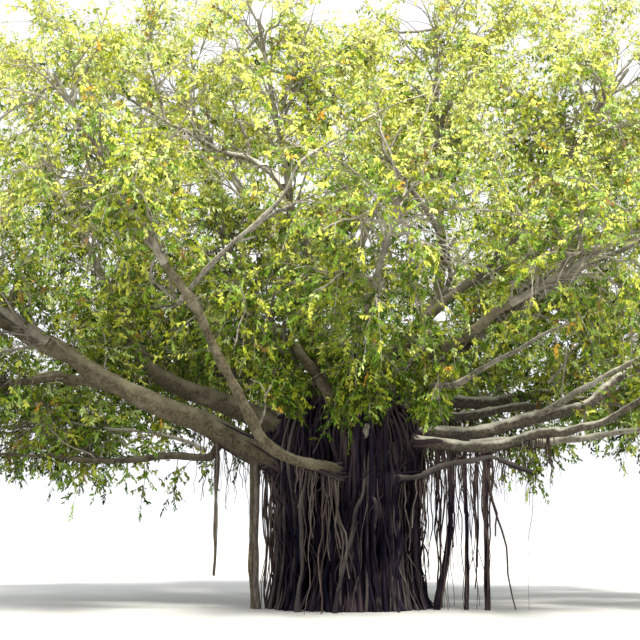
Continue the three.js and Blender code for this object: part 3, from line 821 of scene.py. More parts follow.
# Branches that the photo shows inside the crown. Each grows on from a bough or its mass, and has its
# girth at both ends and spots of the photo: x and y in its pixels, and the y in metres that the spot is
# taken to lie at.
branches = {
    "upper_left": ("top_left", (0.095, 0.03), [
        (283, 187, 0.3), (272, 173, 0.8), (248, 158, 1.2), (225, 152, 1.5), (195, 136, 1.9), (165, 121, 2.2),
        (128, 98, 2.4), (98, 83, 2.5)]),
    "upper_left_shoot": ("top_left", (0.045, 0.016), [
        (165, 121, 2.2), (158, 88, 2.2), (150, 64, 2.1), (143, 41, 2.0)]),
    "upper_left_rise": ("top_left", (0.045, 0.014), [
        (195, 136, 1.9), (193, 102, 1.9), (192, 71, 1.8), (192, 32, 1.7)]),
    "upper_left_twig": ("top_left", (0.018, 0.01), [(192, 71, 1.8), (203, 47, 1.7), (207, 31, 1.6)]),
    "upper_upright": ("top_left", (0.035, 0.012), [
        (250, 160, 1.2), (246, 140, 1.2), (236, 111, 1.2), (232, 88, 1.1), (238, 60, 1.0)]),
    "front_long": ("front_left", (0.058, 0.01), [
        (178, 304, -4.2), (204, 272, -4.6), (232, 244, -5.0), (262, 218, -5.4), (284, 195, -5.6),
        (300, 165, -5.8), (325, 147, -5.9), (350, 130, -6.0), (375, 114, -6.1), (400, 102, -6.2),
        (425, 95, -6.3)]),
    "front_fork": ("front_left", (0.035, 0.012), [
        (250, 232, -5.15), (270, 216, -5.35), (290, 206, -5.5), (310, 197, -5.7), (335, 191, -5.9),
        (357, 180, -6.1)]),
    "front_second": ("front_left", (0.022, 0.009), [(237, 243, -5.05), (256, 235, -5.2), (281, 222, -5.4)]),
    "front_back": ("front_left", (0.04, 0.01), [
        (175, 299, -4.2), (150, 272, -4.6), (166, 239, -5.0), (183, 234, -5.2)]),
    "front_upright": ("front_left", (0.025, 0.01), [
        (176, 298, -4.25), (171, 283, -4.3), (165, 257, -4.45), (163, 238, -4.5)]),
    "front_hanging": ("front_left", (0.02, 0.01), [
        (240, 286, -5.1), (245, 307, -5.0), (239, 328, -4.9), (233, 350, -4.8)]),
    "middle_rise": ("top_middle", (0.075, 0.02), [
        (449, 261, -0.6), (434, 222, -1.2), (403, 180, -1.6), (387, 157, -1.8), (382, 133, -2.0),
        (376, 92, -2.2)]),
    "middle_fork": ("top_middle", (0.03, 0.01), [(388, 150, -1.85), (401, 131, -2.0), (417, 113, -2.2)]),
    "middle_down": ("top_middle", (0.045, 0.055), [
        (455, 238, -1.0), (446, 258, -0.9), (450, 277, -0.7), (441, 302, -0.4)]),
    "middle_prop": ("top_middle", (0.018, 0.022), [(471, 248, -1.0), (461, 262, -0.9), (451, 277, -0.75)]),
    "rising_long": ("right_rising", (0.08, 0.05), [
        (488, 323, 0.76), (504, 312, 0.68), (534, 296, 0.5), (574, 272, 0.2), (607, 257, -0.1),
        (640, 241, -0.4), (692, 207, -0.8)]),
    "rising_fork": ("right_rising", (0.05, 0.02), [
        (530, 296, 0.55), (550, 272, 0.6), (576, 256, 0.7), (610, 245, 0.8)]),
    "right_upward": ("right_rising", (0.06, 0.018), [
        (430, 302, 0.2), (450, 292, -0.3), (481, 281, -0.7), (510, 263, -1.0), (539, 251, -1.3),
        (573, 235, -1.6)]),
    "right_between": ("inner_right", (0.08, 0.025), [
        (433, 386, -0.4), (457, 384, -0.8), (478, 371, -1.2), (500, 359, -1.6), (530, 343, -2.1),
        (551, 330, -2.4), (605, 310, -3.0)]),
    "right_outer": ("right_mid", (0.085, 0.045), [
        (538, 415, -0.1), (573, 395, -0.5), (606, 376, -1.0), (640, 357, -1.4)]),
    "right_flat": ("right_low", (0.10, 0.06), [
        (470, 444, -0.5), (510, 441, -0.55), (543, 444, -0.6), (560, 440, -0.6), (585, 437, -0.7),
        (618, 432, -0.8), (650, 430, -0.95)]),
    "right_pale": ("right_mid", (0.035, 0.014), [
        (548, 383, -0.3), (561, 370, -0.45), (570, 352, -0.6), (583, 340, -0.7)]),
    "right_hanging": ("right_front", (0.018, 0.012), [
        (568, 337, -1.2), (566, 356, -1.2), (564, 376, -1.15), (561, 398, -1.1)]),
    "left_low_outer": ("left_low", (0.165, 0.13), [
        (96, 372, -0.75), (72, 360, -0.85), (45, 346, -1.0), (17, 329, -1.15), (0, 321, -1.25),
        (-26, 305, -1.4)]),
    "left_low_upright": ("left_low", (0.07, 0.025), [
        (18, 330, -1.15), (14, 313, -1.15), (12, 297, -1.1), (15, 276, -1.0)]),
    "left_low_spur": ("left_low", (0.045, 0.025), [
        (48, 350, -0.95), (34, 347, -1.15), (20, 348, -1.3), (-12, 355, -1.5)]),
    "left_fork_inner": ("left_fork", (0.11, 0.08), [
        (143, 396, -0.5), (108, 387, -0.3), (83, 381, -0.15), (58, 378, 0.05), (33, 381, 0.2), (0, 383, 0.35),
        (-26, 380, 0.5)]),
    "left_thin_outer": ("left_thin", (0.062, 0.035), [
        (115, 462, 0.75), (80, 459, 0.9), (50, 455, 1.0), (20, 456, 1.1), (-24, 453, 1.25)]),
    "left_thin_upper": ("left_thin", (0.045, 0.016), [
        (206, 450, 0.1), (183, 440, 0.2), (157, 435, 0.3), (128, 430, 0.4), (100, 427, 0.5), (60, 420, 0.7)]),
    "top_show": ("top_front", (0.13, 0.1), [
        (338, 408, -1.15), (330, 397, -1.35), (319, 380, -1.5), (305, 361, -1.6), (296, 346, -1.6)]),
    "dead_twig": ("front_left", (0.02, 0.007), [
        (258, 427, -2.7), (265, 409, -2.85), (267, 394, -2.85), (275, 377, -2.9)]),
    "dead_fork": ("front_left", (0.013, 0.006), [(267, 396, -2.85), (260, 384, -2.9), (250, 379, -2.95)]),
    "broken_stub": ("inner_front", (0.08, 0.06), [(363, 443, -1.0), (365, 433, -1.4), (367, 426, -1.78)]),
}
branchSet = {
    "steps": 40, "roundness": 2, "lumps": [(0.3, 0.05), (0.08, 0.015)],
    "wanderShare": 0.6, "wanderMost": 0.018,
    "dark": {"top_show", "left_low_outer", "left_low_upright", "left_fork_inner", "left_thin_outer"},
}
branchLines = {name: lineInPhoto(spots) for name, (on, girth, spots) in branches.items()}


def makeBranch(name, rng):
    on, girth, spots = branches[name]
    shares = np.linspace(0, 1, branchSet["steps"])
    strays = min(girth[0] * branchSet["wanderShare"], branchSet["wanderMost"])
    points = wander(branchLines[name](shares), rng, strays)
    # Branches outside the dark set take the branch bark, whose paler colour is painted sunlight.
    skin = barks["bough" if name in branchSet["dark"] else "branch"]
    run = (points, between(girth, shares), 0)
    piece = tubesFromRuns("branch_" + name, [run], [skin], branchSet["roundness"])
    finishBark(piece, branchSet["lumps"], "bough_bark", "leaves_" + on)


rng = np.random.default_rng(boughSet["seed"])
for name in limbs:
    makeBough(name, rng)
for name in branches:
    makeBranch(name, rng)
report("boughs and branches")


# What the photo shows through the leaves

# Stretches of wood that no leaf hides: the share of the line from and to, and the room beside it in pixels.
bareStretches = [
    ("left_low", 0.05, 0.9, 2), ("left_fork", 0.0, 0.7, 2), ("left_thin", 0.0, 0.85, 1),
    ("left_upper", 0.1, 0.5, 1), ("front_left", 0.05, 0.8, 3), ("right_low", 0.05, 0.33, 2),
    ("right_low", 0.4, 0.85, 2), ("right_mid", 0.22, 0.55, 1), ("right_inner", 0.28, 0.5, 1),
    ("right_upper", 0.32, 0.5, 1),
    ("right_rising", 0.7, 0.82, 1), ("rising_long", 0.15, 0.9, 1), ("top_show", 0.35, 0.9, 1),
    *[(name, 0.0, 0.9, 1) for name in branches if name not in ("rising_long", "top_show")],
]
# Gaps that show the sky: x, y and radius in the photo's pixels.
skyGaps = [
    (209, 48, 14), (232, 42, 9), (167, 82, 12), (244, 107, 8), (295, 139, 7), (233, 184, 11), (196, 189, 6),
    (364, 236, 12), (255, 254, 6), (274, 298, 4), (137, 187, 4), (87, 245, 4), (68, 93, 6), (190, 139, 5),
    (260, 12, 16), (316, 14, 14), (415, 16, 20), (401, 176, 5), (375, 197, 5), (404, 213, 4), (420, 53, 6),
    (440, 315, 8), (557, 336, 6), (485, 197, 7), (407, 252, 5), (426, 232, 5), (632, 337, 7), (602, 230, 5),
    (615, 287, 6), (555, 310, 4), (625, 65, 14), (585, 85, 7), (520, 40, 8), (480, 30, 8), (20, 20, 12),
    (600, 120, 5),
]

# The farthest bare wood behind each spot of the photo. Leaves in front of it are left out.
openSet = {"spotsPerPixel": 2, "margin": 60, "gapEdge": (0.6, 1.1), "steps": 90}
mapSide = (photoSide + 2 * openSet["margin"]) * openSet["spotsPerPixel"]
bareDepth = np.zeros((mapSide, mapSide))


def onMap(pixels):
    return ((pixels + openSet["margin"]) * openSet["spotsPerPixel"]).astype(int)


def layBare(line, girth, shares, room):
    px, py, deep = inPhoto(line(shares))
    reach = between(girth, shares) * focal / deep + room
    spans = zip(onMap(px - reach), onMap(px + reach), onMap(py - reach), onMap(py + reach), deep)
    for left, right, low, high, depth in spans:
        if min(left, low) >= 0 and max(right, high) < mapSide:
            patch = bareDepth[low:high + 1, left:right + 1]
            np.maximum(patch, depth, out=patch)


def keepsPhotoOpen(points, rng):
    px, py, deep = inPhoto(points)
    column, row = onMap(px), onMap(py)
    inside = (column >= 0) & (column < mapSide) & (row >= 0) & (row < mapSide)
    hidden = inside & (deep < bareDepth[np.where(inside, row, 0), np.where(inside, column, 0)])
    for x, y, room in skyGaps:
        edge = room * rng.uniform(*openSet["gapEdge"], len(points))
        hidden |= (px - x) ** 2 + (py - y) ** 2 < edge ** 2
    return ~hidden


for name, first, last, room in bareStretches:
    line = limbLines[name] if name in boughs else branchLines[name]
    girth = boughs[name]["girth"] if name in boughs else branches[name][1]
    layBare(line, girth, np.linspace(first, last, openSet["steps"]), room)
report("open places")


# Hanging roots

hangerSet = {
    "steps": 22, "bow": 0.35, "strands": 3, "spread": 0.6, "winding": 2.5, "strandGirth": (0.5, 0.72),
    "wander": 0.0175, "lumps": [(0.15, 0.02)], "pale": ("left_prop", "left_hanger_long"), "seed": 23,
}


def hangerLine(on, share, foot, lean):
    top = limbLines[on](share)
    end = np.array([top[0] + lean[0], top[1] + lean[1], foot])
    middle = (top + end) / 2
    middle[0] -= lean[0] * hangerSet["bow"]
    return lineThrough([top, middle, end])


# A root that has hung for years is a few strands that have grown together and part again here and there.
def hangerRuns(on, share, foot, lean, girth, rng):
    shares = np.linspace(0, 1, hangerSet["steps"])
    spine = hangerLine(on, share, foot, lean)(shares)
    runs = []
    for k in range(hangerSet["strands"]):
        winding = rng.uniform(0, 1) + shares * rng.uniform(-hangerSet["winding"], hangerSet["winding"])
        turn = 2 * math.pi * k / hangerSet["strands"] + winding
        reach = between(girth, shares) * hangerSet["spread"]
        points = spine + np.column_stack([np.cos(turn) * reach, np.sin(turn) * reach, np.zeros(len(shares))])
        points = wander(points, rng, hangerSet["wander"])
        points[:, 2] = np.maximum(spine[:, 2], foot)
        runs.append((points, between(girth, shares) * rng.uniform(*hangerSet["strandGirth"]), k % 2))
    return runs


# Thin roots that hang in fringes under the boughs. Each fringe is the stretch of its bough, how many
# roots, how far down they reach, their girth, the share of them that reach the ground, and their colour.
fringes = [
    ("left_low", (0.13, 0.36), 40, (0.3, 1.7), (0.008, 0.018), 0.04, 1),
    ("left_low", (0.115, 0.18), 16, (1.2, 3.2), (0.018, 0.048), 0.6, 1),
    ("left_low", (0.115, 0.17), 8, (1.2, 3.0), (0.018, 0.040), 0.5, 2),
    ("front_left", (0.10, 0.34), 12, (0.3, 1.3), (0.008, 0.016), 0, 2),
    ("front_left", (0.10, 0.28), 9, (0.9, 2.7), (0.014, 0.034), 0.2, 2),
    ("front_left", (0.09, 0.3), 6, (0.8, 2.4), (0.012, 0.030), 0.2, 1),
    ("right_stub", (0.04, 0.34), 8, (0.7, 2.3), (0.012, 0.028), 0.1, 2),
    ("right_stub", (0.04, 0.34), 8, (0.5, 2.3), (0.010, 0.028), 0.15, 1),
    ("right_low", (0.12, 0.5), 110, (0.2, 1.4), (0.007, 0.016), 0.02, 1),
    ("right_low", (0.10, 0.24), 34, (0.8, 3.2), (0.012, 0.034), 0.3, 1),
    ("right_mid", (0.14, 0.45), 60, (0.3, 1.7), (0.008, 0.018), 0.03, 0),
    ("right_mid", (0.12, 0.24), 20, (0.8, 3.4), (0.012, 0.032), 0.3, 0),
    ("right_inner", (0.14, 0.35), 40, (0.4, 2.4), (0.008, 0.020), 0.04, 0),
    ("right_upper", (0.14, 0.35), 18, (0.4, 2.0), (0.008, 0.018), 0.04, 0),
    ("left_upper", (0.14, 0.36), 22, (0.4, 2.0), (0.008, 0.018), 0.04, 0),
    ("back_low_left", (0.16, 0.4), 24, (0.4, 2.6), (0.010, 0.025), 0.2, 0),
    ("back_low_right", (0.16, 0.4), 24, (0.4, 2.6), (0.010, 0.025), 0.2, 0),
    ("front", (0.3, 0.6), 10, (0.3, 1.2), (0.008, 0.016), 0, 1),
    ("front_right", (0.3, 0.6), 12, (0.3, 1.4), (0.008, 0.016), 0, 1),
]
fringeSet = {
    "fewestSteps": 4, "stepsPerMetre": 3, "shortMore": 1.5, "beside": 0.4, "slant": 0.05, "wander": 0.03,
    "wanderReach": 1.5, "finer": 2, "taper": 0.5,
}


def fringeRun(top, thickness, drop, girth, grounded, slot, rng):
    reaches = rng.uniform() < grounded
    reach = top[2] if reaches else min(between(drop, rng.uniform() ** fringeSet["shortMore"]), top[2])
    steps = fringeSet["fewestSteps"] + int(reach * fringeSet["stepsPerMetre"])
    along = np.linspace(0, 1, steps)
    points = np.tile(top, (steps, 1))
    for axis in (0, 1):
        points[:, axis] += (rng.normal(0, thickness * fringeSet["beside"])
                            + along * rng.normal(0, fringeSet["slant"]) * reach)
    points[:, 2] -= along * reach
    points = wander(points, rng, fringeSet["wander"] * min(reach, fringeSet["wanderReach"]))
    points[:, 2] = np.maximum(points[:, 2], 0)
    size = between(girth, rng.uniform() ** fringeSet["finer"])
    return points, size * (1 - fringeSet["taper"] * along), slot


def fringeRuns(rng):
    runs = []
    for name, stretch, count, *rest in fringes:
        for dot in dotsAlong(limbLines[name], limbs[name]["girth"], rng.uniform(*stretch, count)):
            runs.append(fringeRun(dot[:3], dot[3], *rest, rng))
    return runs


rng = np.random.default_rng(hangerSet["seed"])
for name, row in hangers.items():
    pair = ("fringe_tan", "bough") if name in hangerSet["pale"] else ("root_red", "fringe_red")
    piece = tubesFromRuns("hanging_" + name, hangerRuns(*row, rng), [barks[bark] for bark in pair], 1)
    finishBark(piece, hangerSet["lumps"], "root_bark", "root_" + name, grounded=True)
fringeBarks = [barks[bark] for bark in ("root_red", "fringe_red", "fringe_tan")]
finishBark(tubesFromRuns("root_fringe", fringeRuns(rng), fringeBarks, 0), None, "root_bark", grounded=True)
report("hanging roots")


# Foliage

# Each mass: the stem and the first twigs are the solids' own. More twigs leave the bough and the stem for
# spots spread evenly round the mass, side twigs leave those, and shoots with leaves leave the side twigs.
massSet = {"outerShare": 1.04, "fullness": 2.4, "spaceGap": 0.02, "seed": 100}
stemSet = {"seatGap": 0.0004, "tip": 0.034, "bend": 0.6, "share": 0.45, "sides": 7}

# Boughs that carry side twigs along their own length: from which share on, and how many.
leafyBoughs = {
    "left_low": (0.4, 16), "left_fork": (0.25, 20), "left_thin": (0.3, 22), "left_upper": (0.28, 30),
    "back_left": (0.25, 30), "back_low_left": (0.25, 34), "back": (0.4, 12), "back_low_right": (0.25, 34),
    "back_right": (0.25, 26), "right_upper": (0.18, 34), "right_inner": (0.2, 30), "right_mid": (0.35, 22),
    "right_low": (0.34, 16), "right_rising": (0.35, 16), "right_front": (0.3, 16), "front_right": (0.16, 34),
    "front": (0.12, 38), "front_left": (0.7, 8), "top_left": (0.25, 26), "top_middle": (0.22, 26),
    "top_back": (0.3, 26), "top_front": (0.2, 24), "inner_left": (0.2, 30), "inner_front": (0.12, 40),
    "inner_right": (0.16, 32),
}

# Leafy branches that fill the crown between the masses and its low edge as the photo shows it, by the
# bough that they grow on. Each has its size, how many side twigs it has and their reach, and spots as the
# branches have.
leafySizes = {"thick": (0.03, 0.01), "middle": (0.025, 0.01), "thin": (0.022, 0.008), "fine": (0.02, 0.008),
              "tuft": (0.014, 0.007)}
leafyBranches = {
    "left_low": [
        ("thick", 26, 1.0, [(70, 357, -0.9), (76, 335, -0.5), (72, 310, -0.2), (64, 284, 0.0)]),
        ("thick", 20, 1.0, [(104, 372, -0.7), (106, 345, -0.3), (98, 318, 0.0), (88, 290, 0.2)]),
    ],
    "left_thin": [
        ("fine", 14, 1.0, [(183, 440, 0.25), (172, 422, 0.3), (163, 408, 0.35)]),
        ("fine", 16, 1.0, [(150, 461, 0.6), (146, 445, 0.6), (138, 425, 0.5), (136, 405, 0.4)]),
        ("fine", 16, 1.0, [(100, 460, 0.85), (104, 440, 0.7), (96, 415, 0.5), (98, 398, 0.3)]),
        ("fine", 16, 1.0, [(50, 455, 1.0), (44, 435, 0.8), (48, 412, 0.6)]),
    ],
    "left_upper": [
        ("thick", 32, 1.0, [(62, 150, 2.2), (42, 104, 2.0), (22, 72, 1.8), (8, 60, 1.7)]),
        ("thick", 32, 1.0, [(70, 140, 2.2), (84, 98, 2.0), (96, 66, 1.6), (118, 48, 1.2)]),
        ("thick", 34, 1.0, [(92, 200, 1.4), (112, 192, 0.2), (132, 184, -1.0), (150, 172, -2.0)]),
    ],
    "right_upper": [
        ("thick", 20, 1.0, [(480, 398, 1.5), (510, 385, 1.7), (540, 372, 1.9), (575, 362, 2.0)]),
    ],
    "right_inner": [("middle", 16, 1.0, [(500, 415, 0.9), (530, 432, 1.2), (560, 440, 1.5)])],
    "right_low": [("tuft", 7, 1.0, [(517, 448, -0.95), (521, 438, -1.15), (523, 446, -1.3)])],
    "right_rising": [
        ("thick", 26, 0.8, [(548, 290, 0.3), (562, 266, -0.3), (584, 248, -0.6), (606, 230, -0.8)]),
        ("middle", 22, 0.8, [(540, 300, 0.2), (556, 300, -0.3), (580, 291, -0.6), (600, 284, -0.8)]),
    ],
    "right_front": [
        ("thick", 34, 1.0, [(588, 122, -3.0), (552, 112, -3.0), (520, 96, -2.9), (500, 84, -2.8)]),
        ("thick", 34, 1.0, [(590, 110, -3.0), (572, 66, -3.0), (556, 34, -2.9), (548, 10, -2.8)]),
        ("thick", 24, 0.9, [(598, 112, -3.0), (618, 60, -3.0), (606, 24, -2.9), (612, 6, -2.8)]),
    ],
    "front_right": [
        ("thin", 20, 0.6, [(433, 354, -2.1), (437, 362, -2.4), (438, 382, -2.5), (437, 404, -2.5)]),
        ("fine", 12, 0.6, [(416, 364, -1.6), (410, 364, -2.0), (404, 372, -2.2)]),
        ("fine", 18, 0.5, [(440, 352, -2.2), (446, 366, -2.1), (443, 384, -2.0), (433, 402, -1.9)]),
        ("thick", 34, 1.0, [(520, 214, -4.7), (498, 168, -4.3), (480, 124, -3.9), (468, 96, -3.6)]),
        ("thick", 30, 1.0, [(436, 352, -2.1), (428, 328, -2.5), (418, 296, -2.9), (420, 262, -3.2)]),
    ],
    "front": [
        ("thin", 24, 0.52, [(352, 370, -2.0), (344, 366, -2.4), (339, 378, -2.6), (337, 394, -2.6)]),
        ("thin", 24, 0.52, [(354, 357, -2.5), (362, 362, -2.8), (368, 376, -2.9), (371, 394, -2.9)]),
        ("fine", 20, 0.5, [(353, 362, -2.3), (356, 368, -2.6), (354, 388, -2.8)]),
        ("thick", 34, 1.0, [(398, 214, -5.7), (412, 168, -5.0), (424, 120, -4.4), (440, 78, -4.0)]),
        ("thick", 30, 1.0, [(352, 350, -2.3), (338, 318, -2.7), (326, 286, -3.1), (334, 252, -3.5)]),
    ],
    "front_left": [
        ("thick", 34, 1.0, [(98, 118, -5.4), (84, 66, -5.2), (60, 30, -5.0), (38, 12, -4.9)]),
        ("thick", 34, 1.0, [(104, 112, -5.4), (126, 70, -5.2), (150, 36, -5.0), (158, 12, -4.9)]),
    ],
    "top_left": [("thick", 34, 1.0, [(192, 110, 1.6), (190, 118, 0.6), (188, 124, -0.6), (182, 136, -1.8)])],
    "top_middle": [("thick", 32, 0.9, [(446, 78, -0.8), (478, 52, -0.9), (500, 26, -1.0), (508, 8, -1.0)])],
    "top_back": [("thick", 32, 1.0, [(398, 120, 3.4), (376, 88, 2.6), (354, 70, 1.8), (346, 48, 1.2)])],
    "top_front": [
        ("thin", 24, 0.52, [(312, 330, -1.1), (318, 336, -1.7), (324, 352, -2.0), (330, 372, -2.2)]),
        ("middle", 22, 0.8, [(274, 104, -4.1), (296, 68, -4.1), (306, 44, -4.0), (290, 30, -4.0)]),
        ("thick", 34, 0.9, [(280, 98, -4.0), (324, 74, -3.8), (352, 56, -3.6), (368, 42, -3.5)]),
    ],
    "inner_front": [
        ("thin", 26, 0.5, [(297, 368, -0.75), (285, 366, -1.4), (272, 376, -1.8), (266, 391, -2.0)]),
        ("thin", 26, 0.5, [(299, 366, -0.8), (294, 368, -1.6), (288, 380, -2.0), (288, 398, -2.0)]),
        ("thick", 34, 1.0, [(234, 244, -1.9), (222, 208, -1.7), (210, 172, -1.5), (196, 142, -1.3)]),
        ("thick", 30, 1.0, [(296, 366, -0.8), (262, 330, -1.9), (246, 306, -2.6), (236, 276, -3.2)]),
    ],
}


def insideSpace(index, points, share):
    out = np.abs((points - middles[index]) / spreads[index])
    inside = (out ** massSet["fullness"]).sum(-1) < share ** massSet["fullness"]
    own = ((points - middles[index]) ** 2).sum(-1)
    for i, other in enumerate(middles):
        if i != index:
            apart = np.linalg.norm(other - middles[index])
            inside &= (((points - other) ** 2).sum(-1) - own) / (2 * apart) > massSet["spaceGap"]
    return inside


# Stretches of limb that twigs and leaves keep clear of.
clearSet = {"boughTo": 0.92, "boughDots": 40, "stubDots": 20, "room": 0.05}
limbShares = {name: np.linspace(0, clearSet["boughTo"], clearSet["boughDots"]) for name in boughs}
limbShares["right_stub"] = np.linspace(0, 1, clearSet["stubDots"])
limbDots = np.vstack([dotsAlong(limbLines[name], limbs[name]["girth"], shares)
                      for name, shares in limbShares.items()])


def clearOfLimbs(points):
    clear = np.ones(len(points), bool)
    for dot in limbDots:
        clear &= ((points - dot[:3]) ** 2).sum(-1) > (dot[3] + clearSet["room"]) ** 2
    return clear


def stemOf(index, name):
    line = limbLines[name]
    ahead = tangent(line, 1.0)
    start = line(1.0) + ahead * stemSet["seatGap"]
    out = middles[index] - start
    end = middles[index] + out * stemSet["share"] / np.linalg.norm(out / spreads[index])
    bend = start + ahead * np.linalg.norm(out) * stemSet["bend"]
    return bowThrough(start, bend, end)


def spotRound(index, k, count, turn):
    rise = 1 - (2 * k + 1) / count
    ring = math.sqrt(1 - rise * rise)
    return np.array([ring * math.cos(turn), ring * math.sin(turn), rise]) * spreads[index]


# The solids' own twigs.
firstSet = {"kind": 2, "count": 5, "girth": (0.036, 0.018), "from": (0.3, 0.95), "share": 0.6, "rise": 0.14}
twigSwing = 0.7


def firstTwig(index, k, stem):
    draw = drawFor(firstSet["kind"], index, k)
    spot = spotRound(index, k, firstSet["count"], k * goldenTurn + draw() * twigSwing + index)
    start = stem(between(firstSet["from"], draw()))
    end = middles[index] + spot * firstSet["share"]
    arch = (start + end) / 2 + np.array([0, 0, np.linalg.norm(end - start) * firstSet["rise"]])
    return bowThrough(start, arch, end)


# The finer twigs. A few at the front of each mass show bare, fewer in the masses named. Thicker or
# thinner masses of the photo have more or fewer twigs.
fineSet = {
    "count": 28, "sizePower": 0.65, "share": (0.4, 0.9), "girth": (0.027, 0.011), "from": 0.5,
    "stemPart": (0.02, 0.85), "starts": 24, "slant": 0.55, "turn": (1.7, 2.1), "bend": 0.55, "rise": 0.16,
    "steps": 12, "sides": 5, "wander": 0.06,
    "bare": 7, "fewerBare": {"right_rising": 2, "right_front": 4}, "bareTo": 3.0, "bareRoom": 0.3,
    "barePart": (0.1, 0.95), "bareSteps": 60,
    "thickness": {
        "back_left": 1.5, "left_thin": 1.6, "left_fork": 1.5, "back_low_left": 1.2, "left_low": 1.15,
        "inner_left": 1.4, "inner_front": 1.3, "right_inner": 1.5, "right_low": 1.3, "back_low_right": 1.2,
        "top_back": 0.8, "back": 0.85,
    },
}


# A finer twig leaves the carrier where it can still reach its spot at a slant, not square across.
def fineTwig(index, k, count, carrier, carrierAhead, rng):
    turn = k * goldenTurn + rng.uniform(0, twigSwing) + index * fineSet["turn"][0] + fineSet["turn"][1]
    end = middles[index] + spotRound(index, k, count, turn) * between(fineSet["share"], rng.uniform())
    away = end - carrier
    slant = (unit(away) * carrierAhead).sum(-1)
    reach = np.linalg.norm(away, axis=-1)
    fits = slant > fineSet["slant"]
    pick = np.argmin(np.where(fits, reach, 1e3)) if fits.any() else np.argmax(slant)
    start, distance = carrier[pick], reach[pick]
    arch = start + (carrierAhead[pick] * 0.5 + unit(end - start) * 0.5) * distance * fineSet["bend"]
    arch[2] += distance * rng.uniform(0.0, fineSet["rise"])
    return bowThrough(start, arch, end)


# The corners of a ring with a radius of 1 round each place of a line.
def ringRound(ahead, sides):
    level, upright = frames(ahead)
    turns = np.arange(sides) * 2 * math.pi / sides
    return level[..., None, :] * np.cos(turns)[:, None] + upright[..., None, :] * np.sin(turns)[:, None]


# Tubes of a few sides along rows of points, one row of points for each tube.
def tubeArrays(rows, radii, sides):
    count, steps, _ = rows.shape
    ring = ringRound(unit(np.gradient(rows, axis=1)), sides)
    corners = rows[:, :, None] + ring * np.broadcast_to(radii, (count, steps))[:, :, None, None]
    at = np.arange(count * steps * sides).reshape(count, steps, sides)
    low, high = at[:, :-1], at[:, 1:]
    faces = np.stack([low, np.roll(low, -1, 2), np.roll(high, -1, 2), high], -1).reshape(-1, 4)
    return corners.reshape(-1, 3), faces, 0


# Three-sided stalks that run out to a point.
def spikeArrays(bases, tips, girth):
    corners = np.concatenate([bases[:, None] + ringRound(unit(tips - bases), 3) * girth, tips[:, None]], 1)
    first = np.arange(len(bases))[:, None, None] * 4
    faces = (first + np.array([[0, 1, 3], [1, 2, 3], [2, 0, 3]])).reshape(-1, 3)
    return corners.reshape(-1, 3), faces, 0


# The stem and the twigs of a mass, as lines and as tubes.
def massTwigs(index, name, rng):
    stem = stemOf(index, name)
    parts = ((limbLines[name], (fineSet["from"], 1)), (stem, fineSet["stemPart"]))
    parts = [(line, np.linspace(*part, fineSet["starts"])) for line, part in parts]
    carrier = np.vstack([line(shares) for line, shares in parts])
    carrierAhead = np.vstack([tangent(line, shares) for line, shares in parts])
    lines = [(firstTwig(index, k, stem), firstSet["girth"]) for k in range(firstSet["count"])]
    size = np.prod(spreads[index]) / np.prod(spreads.max(0))
    count = round(fineSet["count"] * size ** fineSet["sizePower"] * fineSet["thickness"].get(name, 1))
    lines += [(fineTwig(index, k, count, carrier, carrierAhead, rng), fineSet["girth"]) for k in range(count)]
    steps = np.linspace(0, 1, fineSet["steps"])
    rows = [stem(steps)]
    stemGirth = (boughs[name]["girth"][1], stemSet["tip"])
    tubes = [tubeArrays(rows[0][None], between(stemGirth, steps), stemSet["sides"])]
    for line, girth in lines:
        rows.append(wander(line(steps), rng, fineSet["wander"]))
        tubes.append(tubeArrays(rows[-1][None], between(girth, steps), fineSet["sides"]))
    lines = [lineThrough(points) for points in rows]
    if middles[index][1] < fineSet["bareTo"]:
        layTwigsBare(lines[-count:], fineSet["fewerBare"].get(name, fineSet["bare"]))
    own = [branchLines[branch] for branch, (on, girth, spots) in branches.items() if on == name]
    return lines + own, tubes


def layTwigsBare(lines, count):
    shares = np.linspace(*fineSet["barePart"], fineSet["bareSteps"])
    for line in sorted(lines, key=lambda line: line(1.0)[1])[:count]:
        layBare(line, fineSet["girth"], shares, fineSet["bareRoom"])


sideSet = {
    "count": 9, "from": (0.22, 1.0), "leafyFrom": 0.12, "length": (0.6, 1.3), "shorter": (1.1, 0.35),
    "girth": (0.011, 0.005), "phase": (0, 6), "stray": 0.4, "lean": (0.4, 1.1), "outward": 0.5,
    "lift": 0.12, "hang": -0.3, "tries": 3, "within": 0.06, "cut": 0.68, "steps": 4, "sides": 3,
    "droop": 0.22, "arch": 0.12,
}


